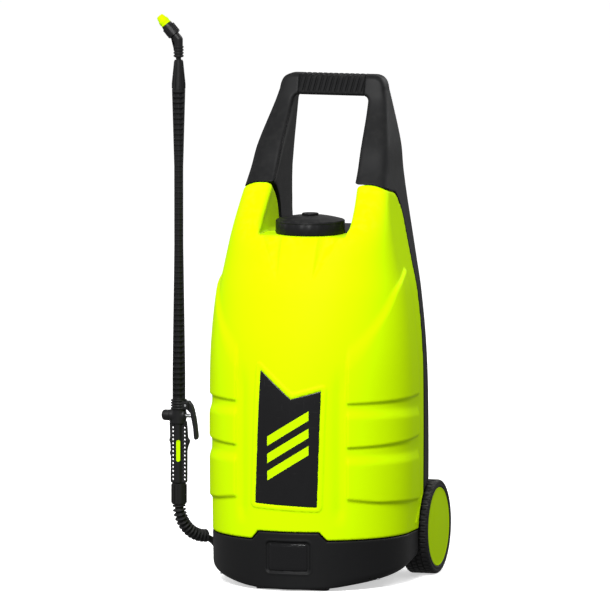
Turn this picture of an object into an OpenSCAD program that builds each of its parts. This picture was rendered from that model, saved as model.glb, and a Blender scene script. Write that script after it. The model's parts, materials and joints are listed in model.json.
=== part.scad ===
// Wheeled sprayer cart: a tank on a two-wheeled frame, with a spray gun and lance on a hose.
// Millimetres, +Z up. The origin is the centre of the front foot's underside, on the floor.

/* [Body outline] */
// Half width of the body at its lower edge
base_half_w = 150; // [146:1:153]
// How much wider each side is at the hips than at the lower edge
hip_flare = 2; // [1:0.5:3]
// Half width of the body at the chest
chest_half_w = 142; // [138:1:146]
// Half width of the body at the filler cap
neck_half_w = 124; // [120:1:128]
// Half width of the body at the shoulders
shoulder_half_w = 108; // [104:1:112]
// Half width of the handle below its corners
grip_half_w = 88; // [85:1:92]
// Reach of the belly in front of the cap axis
belly_front = 126; // [120:1:132]
// Flat back, behind the cap axis
back_y = 152; // [149:1:156]
// Height of the body's lower edge at the front
rim_z = 4; // [3:0.5:6]
// Height of the parting line between base and tank
seam_z = 76; // [74:1:80]
// Height of the floor of the filler notch
notch_z = 521; // [515:1:525]
// Height of the tank's shoulders
shoulder_z = 597; // [592:1:600]
// Top of the handle
top_z = 752; // [745:1:760]
// Parting plane between tank and back frame, behind the cap axis
seam_y = 88; // [84:1:92]
// Rise of the base's underside per millimetre towards the back
belly_slope = 0.14; // [0.12:0.01:0.16]

/* [Walls] */
// Wall of the tank
tank_wall = 3.5; // [3:0.5:4.5]
// Wall of the base and the back frame
shell_wall = 3; // [2.5:0.5:4]
// Width of the parting lines
seam_gap = 0.8; // [0.5:0.1:0.9]
// Height of the tank's inner floor
tank_floor_z = 104; // [102:1:108]
// How far the side pads stand proud
pad_proud = 4.5; // [3:0.5:6]

/* [Front plate] */
// Half width of the front plate
plate_half_w = 51; // [48:1:53]
// Lower edge of the front plate
plate_low_z = 127; // [125:1:130]
// Upper edge of the front plate, at its higher side
plate_high_z = 332; // [326:1:336]
// Thickness of the front plate
plate_t = 1.6; // [1.2:0.1:2]

/* [Handle] */
// Height of the handle's grip bar
bar_h = 31; // [28:1:34]
// Half width of the hand opening at its top
window_half_w = 60; // [57:1:62]
// Number of grip ribs
grip_ribs = 13; // [9:1:15]

/* [Filler] */
// Outer radius of the filler cap
cap_r = 52; // [50:0.5:54]
// Bore radius of the filler neck
neck_bore_r = 38; // [35:0.5:39]
// Depth of the strainer basket
strainer_h = 96; // [80:1:110]

/* [Wheels] */
// Radius of the tyres
tyre_r = 71; // [69:0.5:72]
// Width of the tyres
tyre_w = 43; // [40:1:44]
// Radius of the wheel discs
disc_r = 59.3; // [57:0.1:60]
// Radius of the axle
axle_r = 6; // [5:0.5:7]
// Distance of the axle behind the cap axis
axle_y = 140; // [138:1:143]
// Side gap between a tyre and its wheel well
well_gap = 4; // [3:0.5:5]

/* [Spray gun and lance] */
// Sideways distance of the lance from the cap axis
gun_x = -211; // [-220:1:-208]
// Distance of the lance behind the cap axis
gun_y = 20; // [15:1:25]
// Height of the gun's lower end
gun_low_z = 138.5; // [136:0.5:142]
// Height of the gun's head top
gun_top_z = 265; // [260:1:270]
// Length of the lance tube
lance_l = 468; // [440:1:480]
// Radius of the lance tube's core
lance_r = 6.6; // [6:0.1:7.2]
// Outer radius of the hose
hose_r = 5; // [4.5:0.25:5.5]
// Radius of the bend in the finned sleeve
sleeve_bend_r = 52; // [48:1:56]

/* [Hidden] */

// Clearance between neighbouring pieces
fit = 0.3;
// Radial running clearance of a turning piece on its shaft
slip = 0.05;
tiny = 0.01;
// The front foot's centre lies this far ahead of the cap axis
foot_y = 100;
round_n = 64;
// Far enough to cut right through the body
far = 400;

// Half width of the body at the hips
hip_half_w = base_half_w + hip_flare;
// Height, half width, front reach, widest line, roundness and back corner radius of the body
STATIONS = [
    [0, base_half_w, belly_front - 2, 15, 2, 45],
    [150, hip_half_w, belly_front, 15, 2, 42],
    [285, hip_half_w, belly_front, 15, 2, 46],
    [360, hip_half_w - 2.5, belly_front - 9, 15, 2.1, 50],
    [435, chest_half_w, belly_front - 28, 15, 2.2, 50],
    [480, (chest_half_w + neck_half_w) / 2, belly_front - 46, 15, 2.3, 42],
    [525, neck_half_w, belly_front - 71, 20, 2.6, 35],
    [573, (neck_half_w + shoulder_half_w) / 2 - 1, belly_front - 122, 34, 3.2, 30],
    [613, shoulder_half_w, belly_front - 158, 62, 4, 24],
    [650, shoulder_half_w - 5, belly_front - 183, 87, 4, 18],
    [714, grip_half_w, belly_front - 232, 131, 4, 12],
    [top_z, grip_half_w - 6, belly_front - 246, 136, 4, 10]
];
front_steps = 24;
corner_steps = 4;
level_step = 26;

function station(z) = max([for (j = [0:len(STATIONS) - 2]) STATIONS[j][0] <= z ? j : 0]);
function slope(j, c) =
    let (a = max(j - 1, 0), b = min(j + 1, len(STATIONS) - 1))
    (STATIONS[b][c] - STATIONS[a][c]) / (STATIONS[b][0] - STATIONS[a][0]);
// Smooth value of column c at height z
function at(z, c) =
    let (j = station(z), d = STATIONS[j + 1][0] - STATIONS[j][0], t = (z - STATIONS[j][0]) / d)
    (2 * t^3 - 3 * t^2 + 1) * STATIONS[j][c] + (t^3 - 2 * t^2 + t) * d * slope(j, c)
    + (3 * t^2 - 2 * t^3) * STATIONS[j + 1][c] + (t^3 - t^2) * d * slope(j + 1, c);

function front_point(a, w, f, m, n) =
    [w * sign(cos(a)) * abs(cos(a))^(2 / n), m - (m + f) * abs(sin(a))^(2 / n)];
// Plan outline of the body at height z, moved in by inset
function outline(z, inset) =
    let (w = at(z, 1) - inset, f = at(z, 2) - inset, m = at(z, 3), n = at(z, 4),
         r = max(at(z, 5) - inset, 2), b = back_y - inset)
    concat(
        [for (i = [0:front_steps]) front_point(180 + 180 * i / front_steps, w, f, m, n)],
        [for (i = [0:corner_steps]) let (a = 90 * i / corner_steps)
            [w - r + r * cos(a), b - r + r * sin(a)]],
        [for (i = [0:corner_steps]) let (a = 90 + 90 * i / corner_steps)
            [r - w + r * cos(a), b - r + r * sin(a)]]
    );

// Body between two heights, moved in by inset
module body_loft(z0, z1, inset = 0) {
    count = ceil((z1 - z0) / level_step);
    levels = [for (i = [0:count]) z0 + (z1 - z0) * i / count];
    sides = len(outline(z0, inset));
    polyhedron(
        [for (z = levels, p = outline(z, inset)) [p[0], p[1], z]],
        concat(
            [[for (k = [sides - 1:-1:0]) k]],
            [for (i = [0:count - 1], k = [0:sides - 1])
                let (a = i * sides, b = a + sides, j = (k + 1) % sides)
                each [[a + k, b + k, b + j], [a + k, b + j, a + j]]],
            [[for (k = [0:sides - 1]) count * sides + k]]
        )
    );
}

// Side view profile, given as [y, z], across the whole width
module across(width = far) {
    translate([-width / 2, 0, 0]) rotate([90, 0, 90]) linear_extrude(width) children();
}

// Front view profile, given as [x, z], from y0 to y1
module through(y0 = -far / 2, y1 = far / 2) {
    translate([0, y1, 0]) rotate([90, 0, 0]) linear_extrude(y1 - y0) children();
}

module both_sides() {
    children();
    mirror([1, 0, 0]) children();
}

// Front view of the parting line: level in the middle, falling over both shoulders
shoulder_flat = 78;
shoulder_run = 40;
shoulder_fall = 32;
module shoulder_line(grow) {
    low = shoulder_z - shoulder_fall;
    right = concat(
        [[far / 2, -10], [far / 2, low]],
        [for (i = [0:6]) let (a = 90 * i / 6)
            [shoulder_flat + (shoulder_run + grow) * cos(a), low + (shoulder_fall + grow) * sin(a)]]
    );
    polygon(concat(right, [for (i = [len(right) - 1:-1:0]) [-right[i][0], right[i][1]]]));
}

// Parting surface between tank and back frame, moved back and up by grow
seam_r = 60;
module ahead_of_seam(grow) {
    intersection() {
        across() polygon(concat(
            [[-far, -10], [seam_y + grow, -10]],
            [for (i = [0:8]) let (a = 90 * i / 8)
                [seam_y - seam_r + (seam_r + grow) * cos(a),
                    shoulder_z - seam_r + (seam_r + grow) * sin(a)]],
            [[-far, shoulder_z + grow]]
        ));
        through() shoulder_line(grow);
    }
}

// Everything that belongs to the base: below the parting line, with the tab in the middle
tab_half_w = 47;
tab_h = 12.5;
tab_slant = 11;
rear_seam_z = 102;
module base_zone(grow) {
    translate([-far / 2, -far / 2, -20]) cube([far, far, seam_z + 20 + grow]);
    through(-far / 2, 0) polygon([
        [-tab_half_w - tab_slant - grow, seam_z - 1], [tab_half_w + tab_slant + grow, seam_z - 1],
        [tab_half_w + grow, seam_z + tab_h + grow], [-tab_half_w - grow, seam_z + tab_h + grow]
    ]);
    translate([-far / 2, seam_y - grow, 0]) cube([far, far, rear_seam_z + grow]);
}

// Wheel wells at the two back corners, grown on every side
axle_z = tyre_r;
well_r = tyre_r + 6;
wheel_overhang = 12;
wheel_out_x = base_half_w + wheel_overhang;
well_x = wheel_out_x - tyre_w - well_gap - 1;
module wheel_wells(grow) {
    both_sides() translate([well_x - grow, axle_y, axle_z]) rotate([0, 90, 0])
        cylinder(h = far / 4, r = well_r + grow, $fn = round_n);
    both_sides() translate([well_x - grow, axle_y - well_r - grow, -20])
        cube([far / 4, 2 * (well_r + grow), axle_z + 20]);
}

// Filler notch and hand opening as one front view outline, grown on every side
window_half = 70;
window_low_half = 62;
window_corner_r = 8;
bar_z = top_z - bar_h;
module window_shape(low_z, grow) {
    corner_x = window_half_w - window_corner_r;
    corner_z = bar_z - window_corner_r;
    r = window_corner_r + grow;
    right = concat(
        [[window_low_half + grow, low_z - grow], [window_half + grow, low_z + 25 - grow],
         [window_half + grow, 600], [window_half - 4 + grow, 654]],
        [for (i = [0:5]) let (a = 90 * i / 5) [corner_x + r * cos(a), corner_z + r * sin(a)]]
    );
    polygon(concat(right, [for (i = [len(right) - 1:-1:0]) [-right[i][0], right[i][1]]]));
}

// Space above the sloping underside, moved up by rise
belly_angle = atan(belly_slope);
module sloped() {
    translate([0, -belly_front, rim_z]) rotate([belly_angle, 0, 0]) children();
}
module above_belly(rise) {
    sloped() translate([-far / 2, -20, rise]) cube([far, far, far]);
}

// ---- Tank ----
neck_flange_r = 56;
neck_r = 44;
neck_hole_r = neck_r + 0.5;
outlet_x = 45;
outlet_y = 55;
outlet_r = 9;
pad_inner_x = 84;
pad_back_y = 50;
// Side view outlines of the three raised pads
PADS = [
    [[-137, 282], [pad_back_y, 282], [pad_back_y, 488], [25, 474], [-29, 432]],
    [[-140, 219], [pad_back_y, 214], [pad_back_y, 254], [-140, 262]],
    [[-140, 144], [-70, 131], [pad_back_y, 128], [pad_back_y, 188], [-140, 193]]
];
pads_low = 126;
pads_high = 494;

module side_pads() {
    intersection() {
        body_loft(pads_low, pads_high, -pad_proud);
        difference() {
            for (pad = PADS) across() polygon(pad);
            translate([-pad_inner_x, -far / 2, 0]) cube([2 * pad_inner_x, far, far * 2]);
        }
    }
}

plate_lean = 7;
plate_low_cut = 6;
plate_low_rise = 4;
plate_edge_drop = 29.5;
plate_notch_drop = 42.5;
plate_notch_x = 6;
// Front view outline of the front plate, grown on every side
module plate_shape(grow) {
    polygon([
        [-plate_half_w - 1 - grow, plate_low_z + plate_low_rise - grow],
        [plate_half_w - plate_low_cut + grow, plate_low_z - grow],
        [plate_half_w + grow, plate_high_z - plate_edge_drop + grow],
        [plate_notch_x, plate_high_z - plate_notch_drop + grow],
        [-plate_half_w + plate_lean - grow, plate_high_z + grow]
    ]);
}
plate_frame_w = 7;
plate_frame_proud = 1.4;
module plate_frame() {
    intersection() {
        difference() {
            body_loft(plate_low_z - 12, plate_high_z + 12, -plate_frame_proud);
            body_loft(plate_low_z - 13, plate_high_z + 13, 2);
        }
        through(-far / 2, 0) difference() {
            plate_shape(plate_frame_w);
            plate_shape(fit);
        }
    }
}

module tank_solid() {
    difference() {
        union() {
            intersection() {
                body_loft(seam_z, shoulder_z + 1);
                ahead_of_seam(-seam_gap / 2);
            }
            side_pads();
            plate_frame();
        }
        base_zone(seam_gap / 2);
        through() window_shape(notch_z, 0);
        wheel_wells(0);
    }
}

module tank_space() {
    difference() {
        intersection() {
            body_loft(tank_floor_z, shoulder_z - tank_wall, tank_wall);
            ahead_of_seam(-seam_gap / 2 - tank_wall);
        }
        through() window_shape(notch_z, tank_wall);
        wheel_wells(tank_wall);
    }
}

module tank() {
    color("yellowgreen") difference() {
        tank_solid();
        difference() {
            tank_space();
            tank_lugs();
        }
        difference() {
            body_loft(seam_z - 2, tank_floor_z - tank_wall, tank_wall);
            wheel_wells(tank_wall);
        }
        translate([0, 0, notch_z - 10]) cylinder(h = 20, r = neck_hole_r, $fn = round_n);
        at_posts() translate([0, seam_y + 2, 0]) rotate([90, 0, 0])
            cylinder(h = lug_l, r = 2.2, $fn = 24);
        translate([outlet_x, outlet_y, tank_floor_z - 10]) cylinder(h = 20, r = outlet_r + fit, $fn = 32);
    }
}

module tank_outlet() {
    color("dimgray") translate([outlet_x, outlet_y, 0]) difference() {
        union() {
            translate([0, 0, tank_floor_z]) cylinder(h = 4, r = outlet_r + 5, $fn = 6);
            translate([0, 0, tank_floor_z - 14]) cylinder(h = 14.5, r = outlet_r, $fn = 48);
            translate([0, 0, tank_floor_z - tank_wall - 5]) cylinder(h = 4.9, r = outlet_r + 5, $fn = 6);
            translate([0, 0, tank_floor_z - 24]) cylinder(h = 12, r = tube_r + 1, $fn = 32);
        }
        translate([0, 0, tank_floor_z - 30]) cylinder(h = 40, r = tube_r - 1, $fn = 32);
    }
}

module front_plate() {
    color("#161616") intersection() {
        difference() {
            body_loft(plate_low_z - 12, plate_high_z + 12, -plate_t);
            body_loft(plate_low_z - 12, plate_high_z + 12, -fit);
        }
        through(-far / 2, 0) plate_shape(0);
    }
}

// ---- Base ----
badge_z0 = 31.5;
badge_z1 = 71;
badge_half_w = 29.5;
badge_margin = 4.5;
badge_recess = 2;
module rounded(x0, z0, x1, z1, r) {
    steps = 6;
    corners = [[x1 - r, z1 - r], [x0 + r, z1 - r], [x0 + r, z0 + r], [x1 - r, z0 + r]];
    polygon([for (q = [0:3], i = [0:steps]) let (a = 90 * (q + i / steps))
        corners[q] + r * [cos(a), sin(a)]]);
}
module badge_pocket() {
    difference() {
        through(-far / 2, 0) rounded(-badge_half_w - badge_margin, badge_z0 - badge_margin + 1,
            badge_half_w + badge_margin, badge_z1 + badge_margin - 1, 6);
        body_loft(0, seam_z + tab_h + 4, badge_recess);
    }
}

// Plan places of the base's screw bosses, as [x, y] behind the front rim
boss_r = 5;
boss_inset = 7;
boss_h = 26;
boss_angles = [212, 248, 292, 328];
rear_boss = [well_x - shell_wall - boss_r + 1, back_y - shell_wall - boss_r + 1];
function rim_point(a) =
    front_point(a, base_half_w - boss_inset, belly_front - 2 - boss_inset, 15, 2);
BOSSES = concat([for (a = boss_angles) rim_point(a)], [rear_boss, [-rear_boss[0], rear_boss[1]]]);
module at_bosses() {
    for (p = BOSSES) sloped() translate([p[0], (p[1] + belly_front) / cos(belly_angle), 0]) children();
}
cover_t = 3;
screw_r = 1.6;
screw_head_r = 3.2;
hose_exit = [-75, 88];
gland_r = 9;

support_x = 40;
support_t = 5;
support_l = 20;
support_rise = 12;
// Two ribs inside the back wall that carry the axle, clear of the bottom cover
module axle_supports() {
    intersection() {
        both_sides() translate([support_x, axle_y - support_l / 2, 0])
            cube([support_t, support_l, axle_z + support_rise]);
        above_belly(cover_t + fit);
    }
}

module base_housing() {
    color("#262626") difference() {
        intersection() {
            union() {
                difference() {
                    body_loft(0, rear_seam_z + 2);
                    difference() {
                        body_loft(-1, rear_seam_z + 3, shell_wall);
                        wheel_wells(shell_wall);
                    }
                }
                at_bosses() translate([0, 0, cover_t + tiny]) cylinder(h = boss_h, r = boss_r, $fn = 24);
                axle_supports();
            }
            base_zone(-seam_gap / 2);
            above_belly(0);
        }
        wheel_wells(0);
        badge_pocket();
        translate([-far / 2, axle_y, axle_z]) rotate([0, 90, 0])
            cylinder(h = far, r = axle_r + 0.2, $fn = round_n);
        at_bosses() translate([0, 0, cover_t - 1]) cylinder(h = boss_h - 2, r = screw_r + 0.2, $fn = 24);
        translate([hose_exit[0], back_y, hose_exit[1]]) rotate([90, 0, 0])
            cylinder(h = 20, r = gland_r + fit, center = true, $fn = 48);
    }
}

module bottom_cover() {
    color("#303030") difference() {
        intersection() {
            body_loft(-1, rear_seam_z, shell_wall + fit);
            above_belly(0);
        }
        above_belly(cover_t);
        wheel_wells(shell_wall + fit);
        at_bosses() translate([0, 0, -1]) cylinder(h = cover_t, r = screw_head_r + fit, $fn = 24);
        at_bosses() translate([0, 0, -1]) cylinder(h = cover_t + 2, r = screw_r + 0.2, $fn = 24);
        at_pump_feet() translate([0, 0, -1]) cylinder(h = cover_t + 2, r = pump_screw_r + 0.2, $fn = 24);
    }
}

module bottom_screws() {
    color("silver") at_bosses() {
        translate([0, 0, 0.4]) cylinder(h = cover_t - 1.4, r = screw_head_r, $fn = 24);
        translate([0, 0, cover_t - 1.01]) cylinder(h = boss_h - 6, r = screw_r, $fn = 24);
    }
}

foot_half_w = 58;
foot_half_d = 12;
module front_foot() {
    color("#1b1b1b") difference() {
        translate([0, -foot_y, 0]) linear_extrude(16)
            rounded(-foot_half_w, -foot_half_d, foot_half_w, foot_half_d, 8);
        above_belly(0);
    }
}

module badge_plate() {
    color("#101010") difference() {
        intersection() {
            body_loft(0, seam_z + tab_h + 4, 0.4);
            through(-far / 2, 0) rounded(-badge_half_w, badge_z0, badge_half_w, badge_z1, 4);
        }
        body_loft(0, seam_z + tab_h + 4, badge_recess);
    }
}

// ---- Back frame with the handle ----
post_r = 6;
POSTS = [[100, 190], [94, 440]];
lug_l = 16;
sill_front_y = 22;
sill_h = 3.5;
handle_corner_r = 22;
handle_corner_x = grip_half_w - 26;
grip_half_l = 51;
grip_wall = 2.6;
module handle_outline() {
    polygon(concat(
        [[far / 2, 0], [far / 2, bar_z - 40], [handle_corner_x + handle_corner_r + 6, bar_z - 7]],
        [for (i = [0:6]) let (a = 90 * i / 6)
            [handle_corner_x + handle_corner_r * cos(a),
                top_z - handle_corner_r + handle_corner_r * sin(a)]],
        [for (i = [0:6]) let (a = 90 + 90 * i / 6)
            [handle_corner_r * cos(a) - handle_corner_x,
                top_z - handle_corner_r + handle_corner_r * sin(a)]],
        [[-handle_corner_x - handle_corner_r - 6, bar_z - 7], [-far / 2, bar_z - 40], [-far / 2, 0]]
    ));
}

module at_posts() {
    both_sides() for (p = POSTS) translate([p[0], 0, p[1]]) children();
}

// Core of the grip bar, inside the ribbed sleeve
module bar_core() {
    intersection() {
        body_loft(bar_z - 20, top_z, grip_wall);
        translate([-grip_half_l - 4, 0, bar_z + grip_wall])
            cube([2 * grip_half_l + 8, far, bar_h - 2 * grip_wall]);
    }
}

module switch_place() {
    translate([50, back_y, 240]) children();
}
module socket_place() {
    translate([-50, back_y, 240]) children();
}
board_half_w = 42;
board_z0 = 130;
board_z1 = 196;
board_y = 122;
board_t = 1.6;
module at_board_posts() {
    for (x = [5 - board_half_w, board_half_w - 5], z = [board_z0 + 5, board_z1 - 5])
        translate([x, 0, z]) children();
}

module back_frame() {
    color("#2a2a2a") difference() {
        union() {
            difference() {
                intersection() {
                    body_loft(rear_seam_z + seam_gap, top_z);
                    through() handle_outline();
                }
                ahead_of_seam(seam_gap / 2);
                frame_space();
            }
            at_posts() translate([0, back_y - 1, 0]) rotate([90, 0, 0])
                cylinder(h = back_y - 1 - seam_y - seam_gap / 2, r = post_r, $fn = 32);
            at_board_posts() translate([0, back_y - 1, 0]) rotate([90, 0, 0])
                cylinder(h = back_y - 1 - board_y - board_t, r = 3, $fn = 24);
            difference() {
                translate([-window_low_half, sill_front_y, notch_z + fit])
                    cube([2 * window_low_half, back_y - sill_front_y - 2, sill_h - fit]);
                translate([0, 0, notch_z - 1]) cylinder(h = 20, r = neck_flange_r + 1, $fn = round_n);
            }
        }
        through() window_shape(notch_z + sill_h, 0);
        wheel_wells(0);
        difference() {
            translate([-grip_half_l - 0.2, 0, bar_z - 10]) cube([2 * grip_half_l + 0.4, far, bar_h + 20]);
            bar_core();
        }
        at_posts() translate([0, back_y + 1, 0]) rotate([90, 0, 0])
            cylinder(h = 3.2, r = screw_head_r + 1.2, $fn = 24);
        at_posts() translate([0, back_y, 0]) rotate([90, 0, 0]) cylinder(h = far, r = 2.3, $fn = 24);
        switch_place() translate([0, -10, 0]) cube([22.6, 40, 30.6], center = true);
        socket_place() rotate([90, 0, 0]) cylinder(h = 40, r = 9.3, center = true, $fn = 48);
    }
}

module frame_space() {
    difference() {
        body_loft(rear_seam_z - 1, notch_z - shell_wall, shell_wall);
        wheel_wells(shell_wall);
    }
    difference() {
        intersection() {
            body_loft(notch_z - shell_wall - tiny, bar_z - 8, shell_wall);
            translate([-far / 2, 0, 0]) cube([far, back_y - shell_wall, far * 2]);
        }
        ahead_of_seam(seam_gap / 2 + shell_wall);
        through() window_shape(notch_z + sill_h, shell_wall);
    }
}

module tank_lugs() {
    at_posts() translate([0, seam_y - 1, 0]) rotate([90, 0, 0]) cylinder(h = lug_l, r = 9, $fn = 32);
}

frame_screw_r = 2;
module frame_screws() {
    color("silver") at_posts() translate([0, back_y - 0.4, 0]) rotate([90, 0, 0]) {
        cylinder(h = 1.8, r = screw_head_r + 0.8, $fn = 24);
        cylinder(h = back_y - seam_y + 10, r = frame_screw_r, $fn = 24);
    }
}

module grip_sleeve() {
    color("#242424") difference() {
        intersection() {
            body_loft(bar_z - 20, top_z);
            translate([-grip_half_l, 0, bar_z]) cube([2 * grip_half_l, far, bar_h]);
        }
        bar_core();
        for (i = [0:grip_ribs - 1])
            translate([(i - (grip_ribs - 1) / 2) * (2 * grip_half_l - 8) / (grip_ribs - 1), 0,
                bar_z + bar_h / 2])
                rotate([0, 14, 0]) grip_groove();
    }
}
groove_w = 2;
groove_d = 1.2;
module grip_groove() {
    front = at(bar_z + bar_h / 2, 2);
    translate([-groove_w / 2, -front - 3 - 10, 3 - bar_h / 2]) cube([groove_w, 3 + groove_d + 10, bar_h]);
    translate([-groove_w / 2, -front - 3, bar_h / 2 - groove_d]) cube([groove_w, back_y + front - 8, 10]);
}

// ---- Filler ----
neck_top_z = notch_z + 19;
cap_low_z = notch_z + 5;
cap_top_z = notch_z + 25;
cap_dome = 7;
module neck_ring() {
    color("#1f1f1f") difference() {
        union() {
            translate([0, 0, notch_z]) cylinder(h = 3.5, r = neck_flange_r, $fn = round_n);
            translate([0, 0, notch_z - 12]) cylinder(h = 31, r = neck_r, $fn = round_n);
            for (i = [0:1]) translate([0, 0, notch_z + 8 + 6 * i])
                cylinder(h = 2, r = neck_r + 1.5, $fn = round_n);
        }
        translate([0, 0, notch_z - 13]) cylinder(h = 40, r = neck_bore_r, $fn = round_n);
    }
}

module filler_cap() {
    color("#262626") translate([0, 0, cap_low_z]) difference() {
        rotate_extrude($fn = round_n) polygon(concat(
            [[0, 0], [cap_r, 0], [cap_r, cap_top_z - cap_low_z - 3]],
            [for (i = [1:4]) let (a = 90 * i / 4)
                [cap_r - 3 + 3 * cos(a), cap_top_z - cap_low_z - 3 + 3 * sin(a)]],
            [for (i = [1:6]) let (x = (cap_r - 3) * (1 - i / 6))
                [x, cap_top_z - cap_low_z + cap_dome * (1 - (x / (cap_r - 3))^2)]]
        ));
        translate([0, 0, -1]) cylinder(h = cap_top_z - cap_low_z + 1 - 2, r = cap_r - 4.5, $fn = round_n);
        cylinder(h = far, r = vent_stem_r + 0.2, $fn = 32);
    }
}

gasket_h = 2.2;
rim_h = 1.5;
module cap_gasket() {
    color("black") translate([0, 0, neck_top_z + rim_h + 0.1]) difference() {
        cylinder(h = cap_top_z - 2 - neck_top_z - rim_h - 0.4, r = cap_r - 5, $fn = round_n);
        translate([0, 0, -1]) cylinder(h = 10, r = neck_bore_r - 2, $fn = round_n);
    }
}

vent_stem_r = 4;
vent_r = 12.5;
module vent_valve() {
    color("#1a1a1a") translate([0, 0, cap_top_z + cap_dome]) difference() {
        union() {
            translate([0, 0, 0.1]) cylinder(h = 2.2, r = vent_r, $fn = 48);
            translate([0, 0, -cap_dome - 4]) cylinder(h = cap_dome + 5, r = vent_stem_r, $fn = 32);
            translate([0, 0, -cap_dome - 5]) cylinder(h = 1.8, r = 7, $fn = 32);
        }
        translate([0, 0, -cap_dome - 6]) cylinder(h = cap_dome + 5, r = 1.5, $fn = 24);
    }
}

basket_wall = 1.5;
basket_slots = 14;
basket_rows = 3;
module strainer() {
    basket_r = neck_bore_r - 1.2;
    color("#3c3c3c") translate([0, 0, neck_top_z]) difference() {
        union() {
            cylinder(h = rim_h, r = neck_r - 0.5, $fn = round_n);
            translate([0, 0, -strainer_h]) cylinder(h = strainer_h + tiny, r = basket_r, $fn = round_n);
        }
        translate([0, 0, basket_wall - strainer_h])
            cylinder(h = far, r = basket_r - basket_wall, $fn = round_n);
        for (j = [0:basket_rows - 1], i = [0:basket_slots / 2 - 1])
            translate([0, 0, -strainer_h + 16 + j * (strainer_h - 30) / basket_rows])
                rotate([0, 0, 360 * (i + 0.5) / basket_slots])
                    translate([-far / 2, -4, 0]) cube([far, 8, (strainer_h - 30) / basket_rows - 6]);
    }
}

// ---- Wheels ----
wheel_in_x = wheel_out_x - tyre_w;
tyre_seat_r = 60;
hub_r = 14;
hub_l = tyre_w - 11;
band_l = tyre_w - 3.4;
disc_t = 2.6;
module at_wheel(side) {
    scale_x = side == "right" ? 0 : 1;
    mirror([scale_x, 0, 0]) translate([wheel_in_x, axle_y, axle_z]) rotate([0, 90, 0]) children();
}

tread_grooves = 3;
tread_d = 2;
module tyre(side) {
    pitch = (tyre_w - 8) / (tread_grooves + 1);
    color("#1c1c1c") at_wheel(side) rotate_extrude($fn = 96) polygon(concat(
        [[tyre_seat_r, 0.5], [tyre_r - 4, 0], [tyre_r - 1, 1.5], [tyre_r, 4]],
        [for (i = [1:tread_grooves], k = [0:3]) [tyre_r - (k == 1 || k == 2 ? tread_d : 0),
            4 + pitch * i + (k < 1.5 ? -1.2 : 1.2) + (k == 1 ? 0.3 : k == 2 ? -0.3 : 0)]],
        [[tyre_r, tyre_w - 4], [tyre_r - 1, tyre_w - 1.5], [tyre_r - 4, tyre_w],
         [tyre_seat_r, tyre_w - 0.5]]
    ));
}

module rim(side) {
    color("#222222") at_wheel(side) difference() {
        rotate_extrude($fn = 96) polygon([
            [axle_r + slip, 0.3], [hub_r, 0.3], [hub_r, 16], [tyre_seat_r - 6, 16],
            [tyre_seat_r - 6, 1.5],
            [tyre_seat_r - 0.1, 1.5], [tyre_seat_r - 0.1, band_l], [tyre_seat_r - 5, band_l],
            [tyre_seat_r - 6, 20], [hub_r, 20], [hub_r, hub_l], [axle_r + slip, hub_l]
        ]);
        for (i = [0:5]) rotate([0, 0, 60 * i]) translate([34, 0, 0]) cylinder(h = 40, r = 10, $fn = 32);
    }
}

module wheel_disc(side) {
    color("yellowgreen") at_wheel(side) {
        rotate_extrude($fn = 96) polygon([
            [0, band_l + 0.1], [disc_r, band_l + 0.1], [disc_r, band_l + disc_t - 0.8],
            [disc_r - 0.8, band_l + disc_t],
            [disc_r - 3, band_l + disc_t], [disc_r - 4, band_l + disc_t - 0.6],
            [disc_r * 0.6, band_l + disc_t + 0.5],
            [0, band_l + disc_t + 0.9]
        ]);
        translate([0, 0, hub_l - 8]) difference() {
            cylinder(h = band_l - hub_l + 8.2, r = hub_r + 3.3, $fn = 48);
            translate([0, 0, -1]) cylinder(h = band_l - hub_l + 10, r = hub_r + fit, $fn = 48);
        }
    }
}

axle_half_l = wheel_in_x + hub_l + 5;
clip_t = 1.2;
clip_x = wheel_in_x + hub_l + 0.5;
module along_axle() {
    translate([0, axle_y, axle_z]) rotate([0, 90, 0]) children();
}
module axle() {
    color("silver") along_axle() difference() {
        cylinder(h = 2 * axle_half_l, r = axle_r, center = true, $fn = round_n);
        for (side = [-1, 1]) translate([0, 0, side * (clip_x + clip_t / 2)]) difference() {
            cylinder(h = clip_t + 0.2, r = axle_r + 1, center = true, $fn = round_n);
            cylinder(h = clip_t + 0.4, r = axle_r - 0.8, center = true, $fn = round_n);
        }
    }
}
module axle_clips() {
    color("gray") along_axle() for (side = [-1, 1]) translate([0, 0, side * (clip_x + clip_t / 2)])
        difference() {
        cylinder(h = clip_t, r = axle_r + 4, center = true, $fn = 48);
        cylinder(h = clip_t + 1, r = axle_r - 0.75, center = true, $fn = 48);
    }
}
module axle_washers() {
    washer_t = wheel_in_x - well_x - 0.3;
    color("#3a3a3a") along_axle() for (side = [-1, 1])
        translate([0, 0, side * (well_x + 0.1 + washer_t / 2)]) difference() {
        cylinder(h = washer_t, r = axle_r + 6, center = true, $fn = 48);
        cylinder(h = washer_t + 1, r = axle_r + 0.1, center = true, $fn = 48);
    }
}

// ---- Inside the base ----
battery = [98, 62, 60];
battery_inset = 17;
battery_at = [battery_inset - well_x, 54, cover_t];
module battery_pack() {
    color("#2b3a66") sloped() translate(battery_at) {
        cube(battery);
        translate([battery[0] - 30, 14, battery[2]]) cube([24, 34, 3]);
    }
}
strap_w = 14;
strap_t = 1.6;
module battery_strap() {
    color("#151515") sloped() translate([battery_at[0] + 28, battery_at[1] - strap_t - 0.2, cover_t])
        difference() {
        cube([strap_w, battery[1] + 2 * strap_t + 0.4, battery[2] + strap_t + 0.2]);
        translate([-1, strap_t, -1]) cube([strap_w + 2, battery[1] + 0.4, battery[2] + 1.2]);
    }
}

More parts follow.
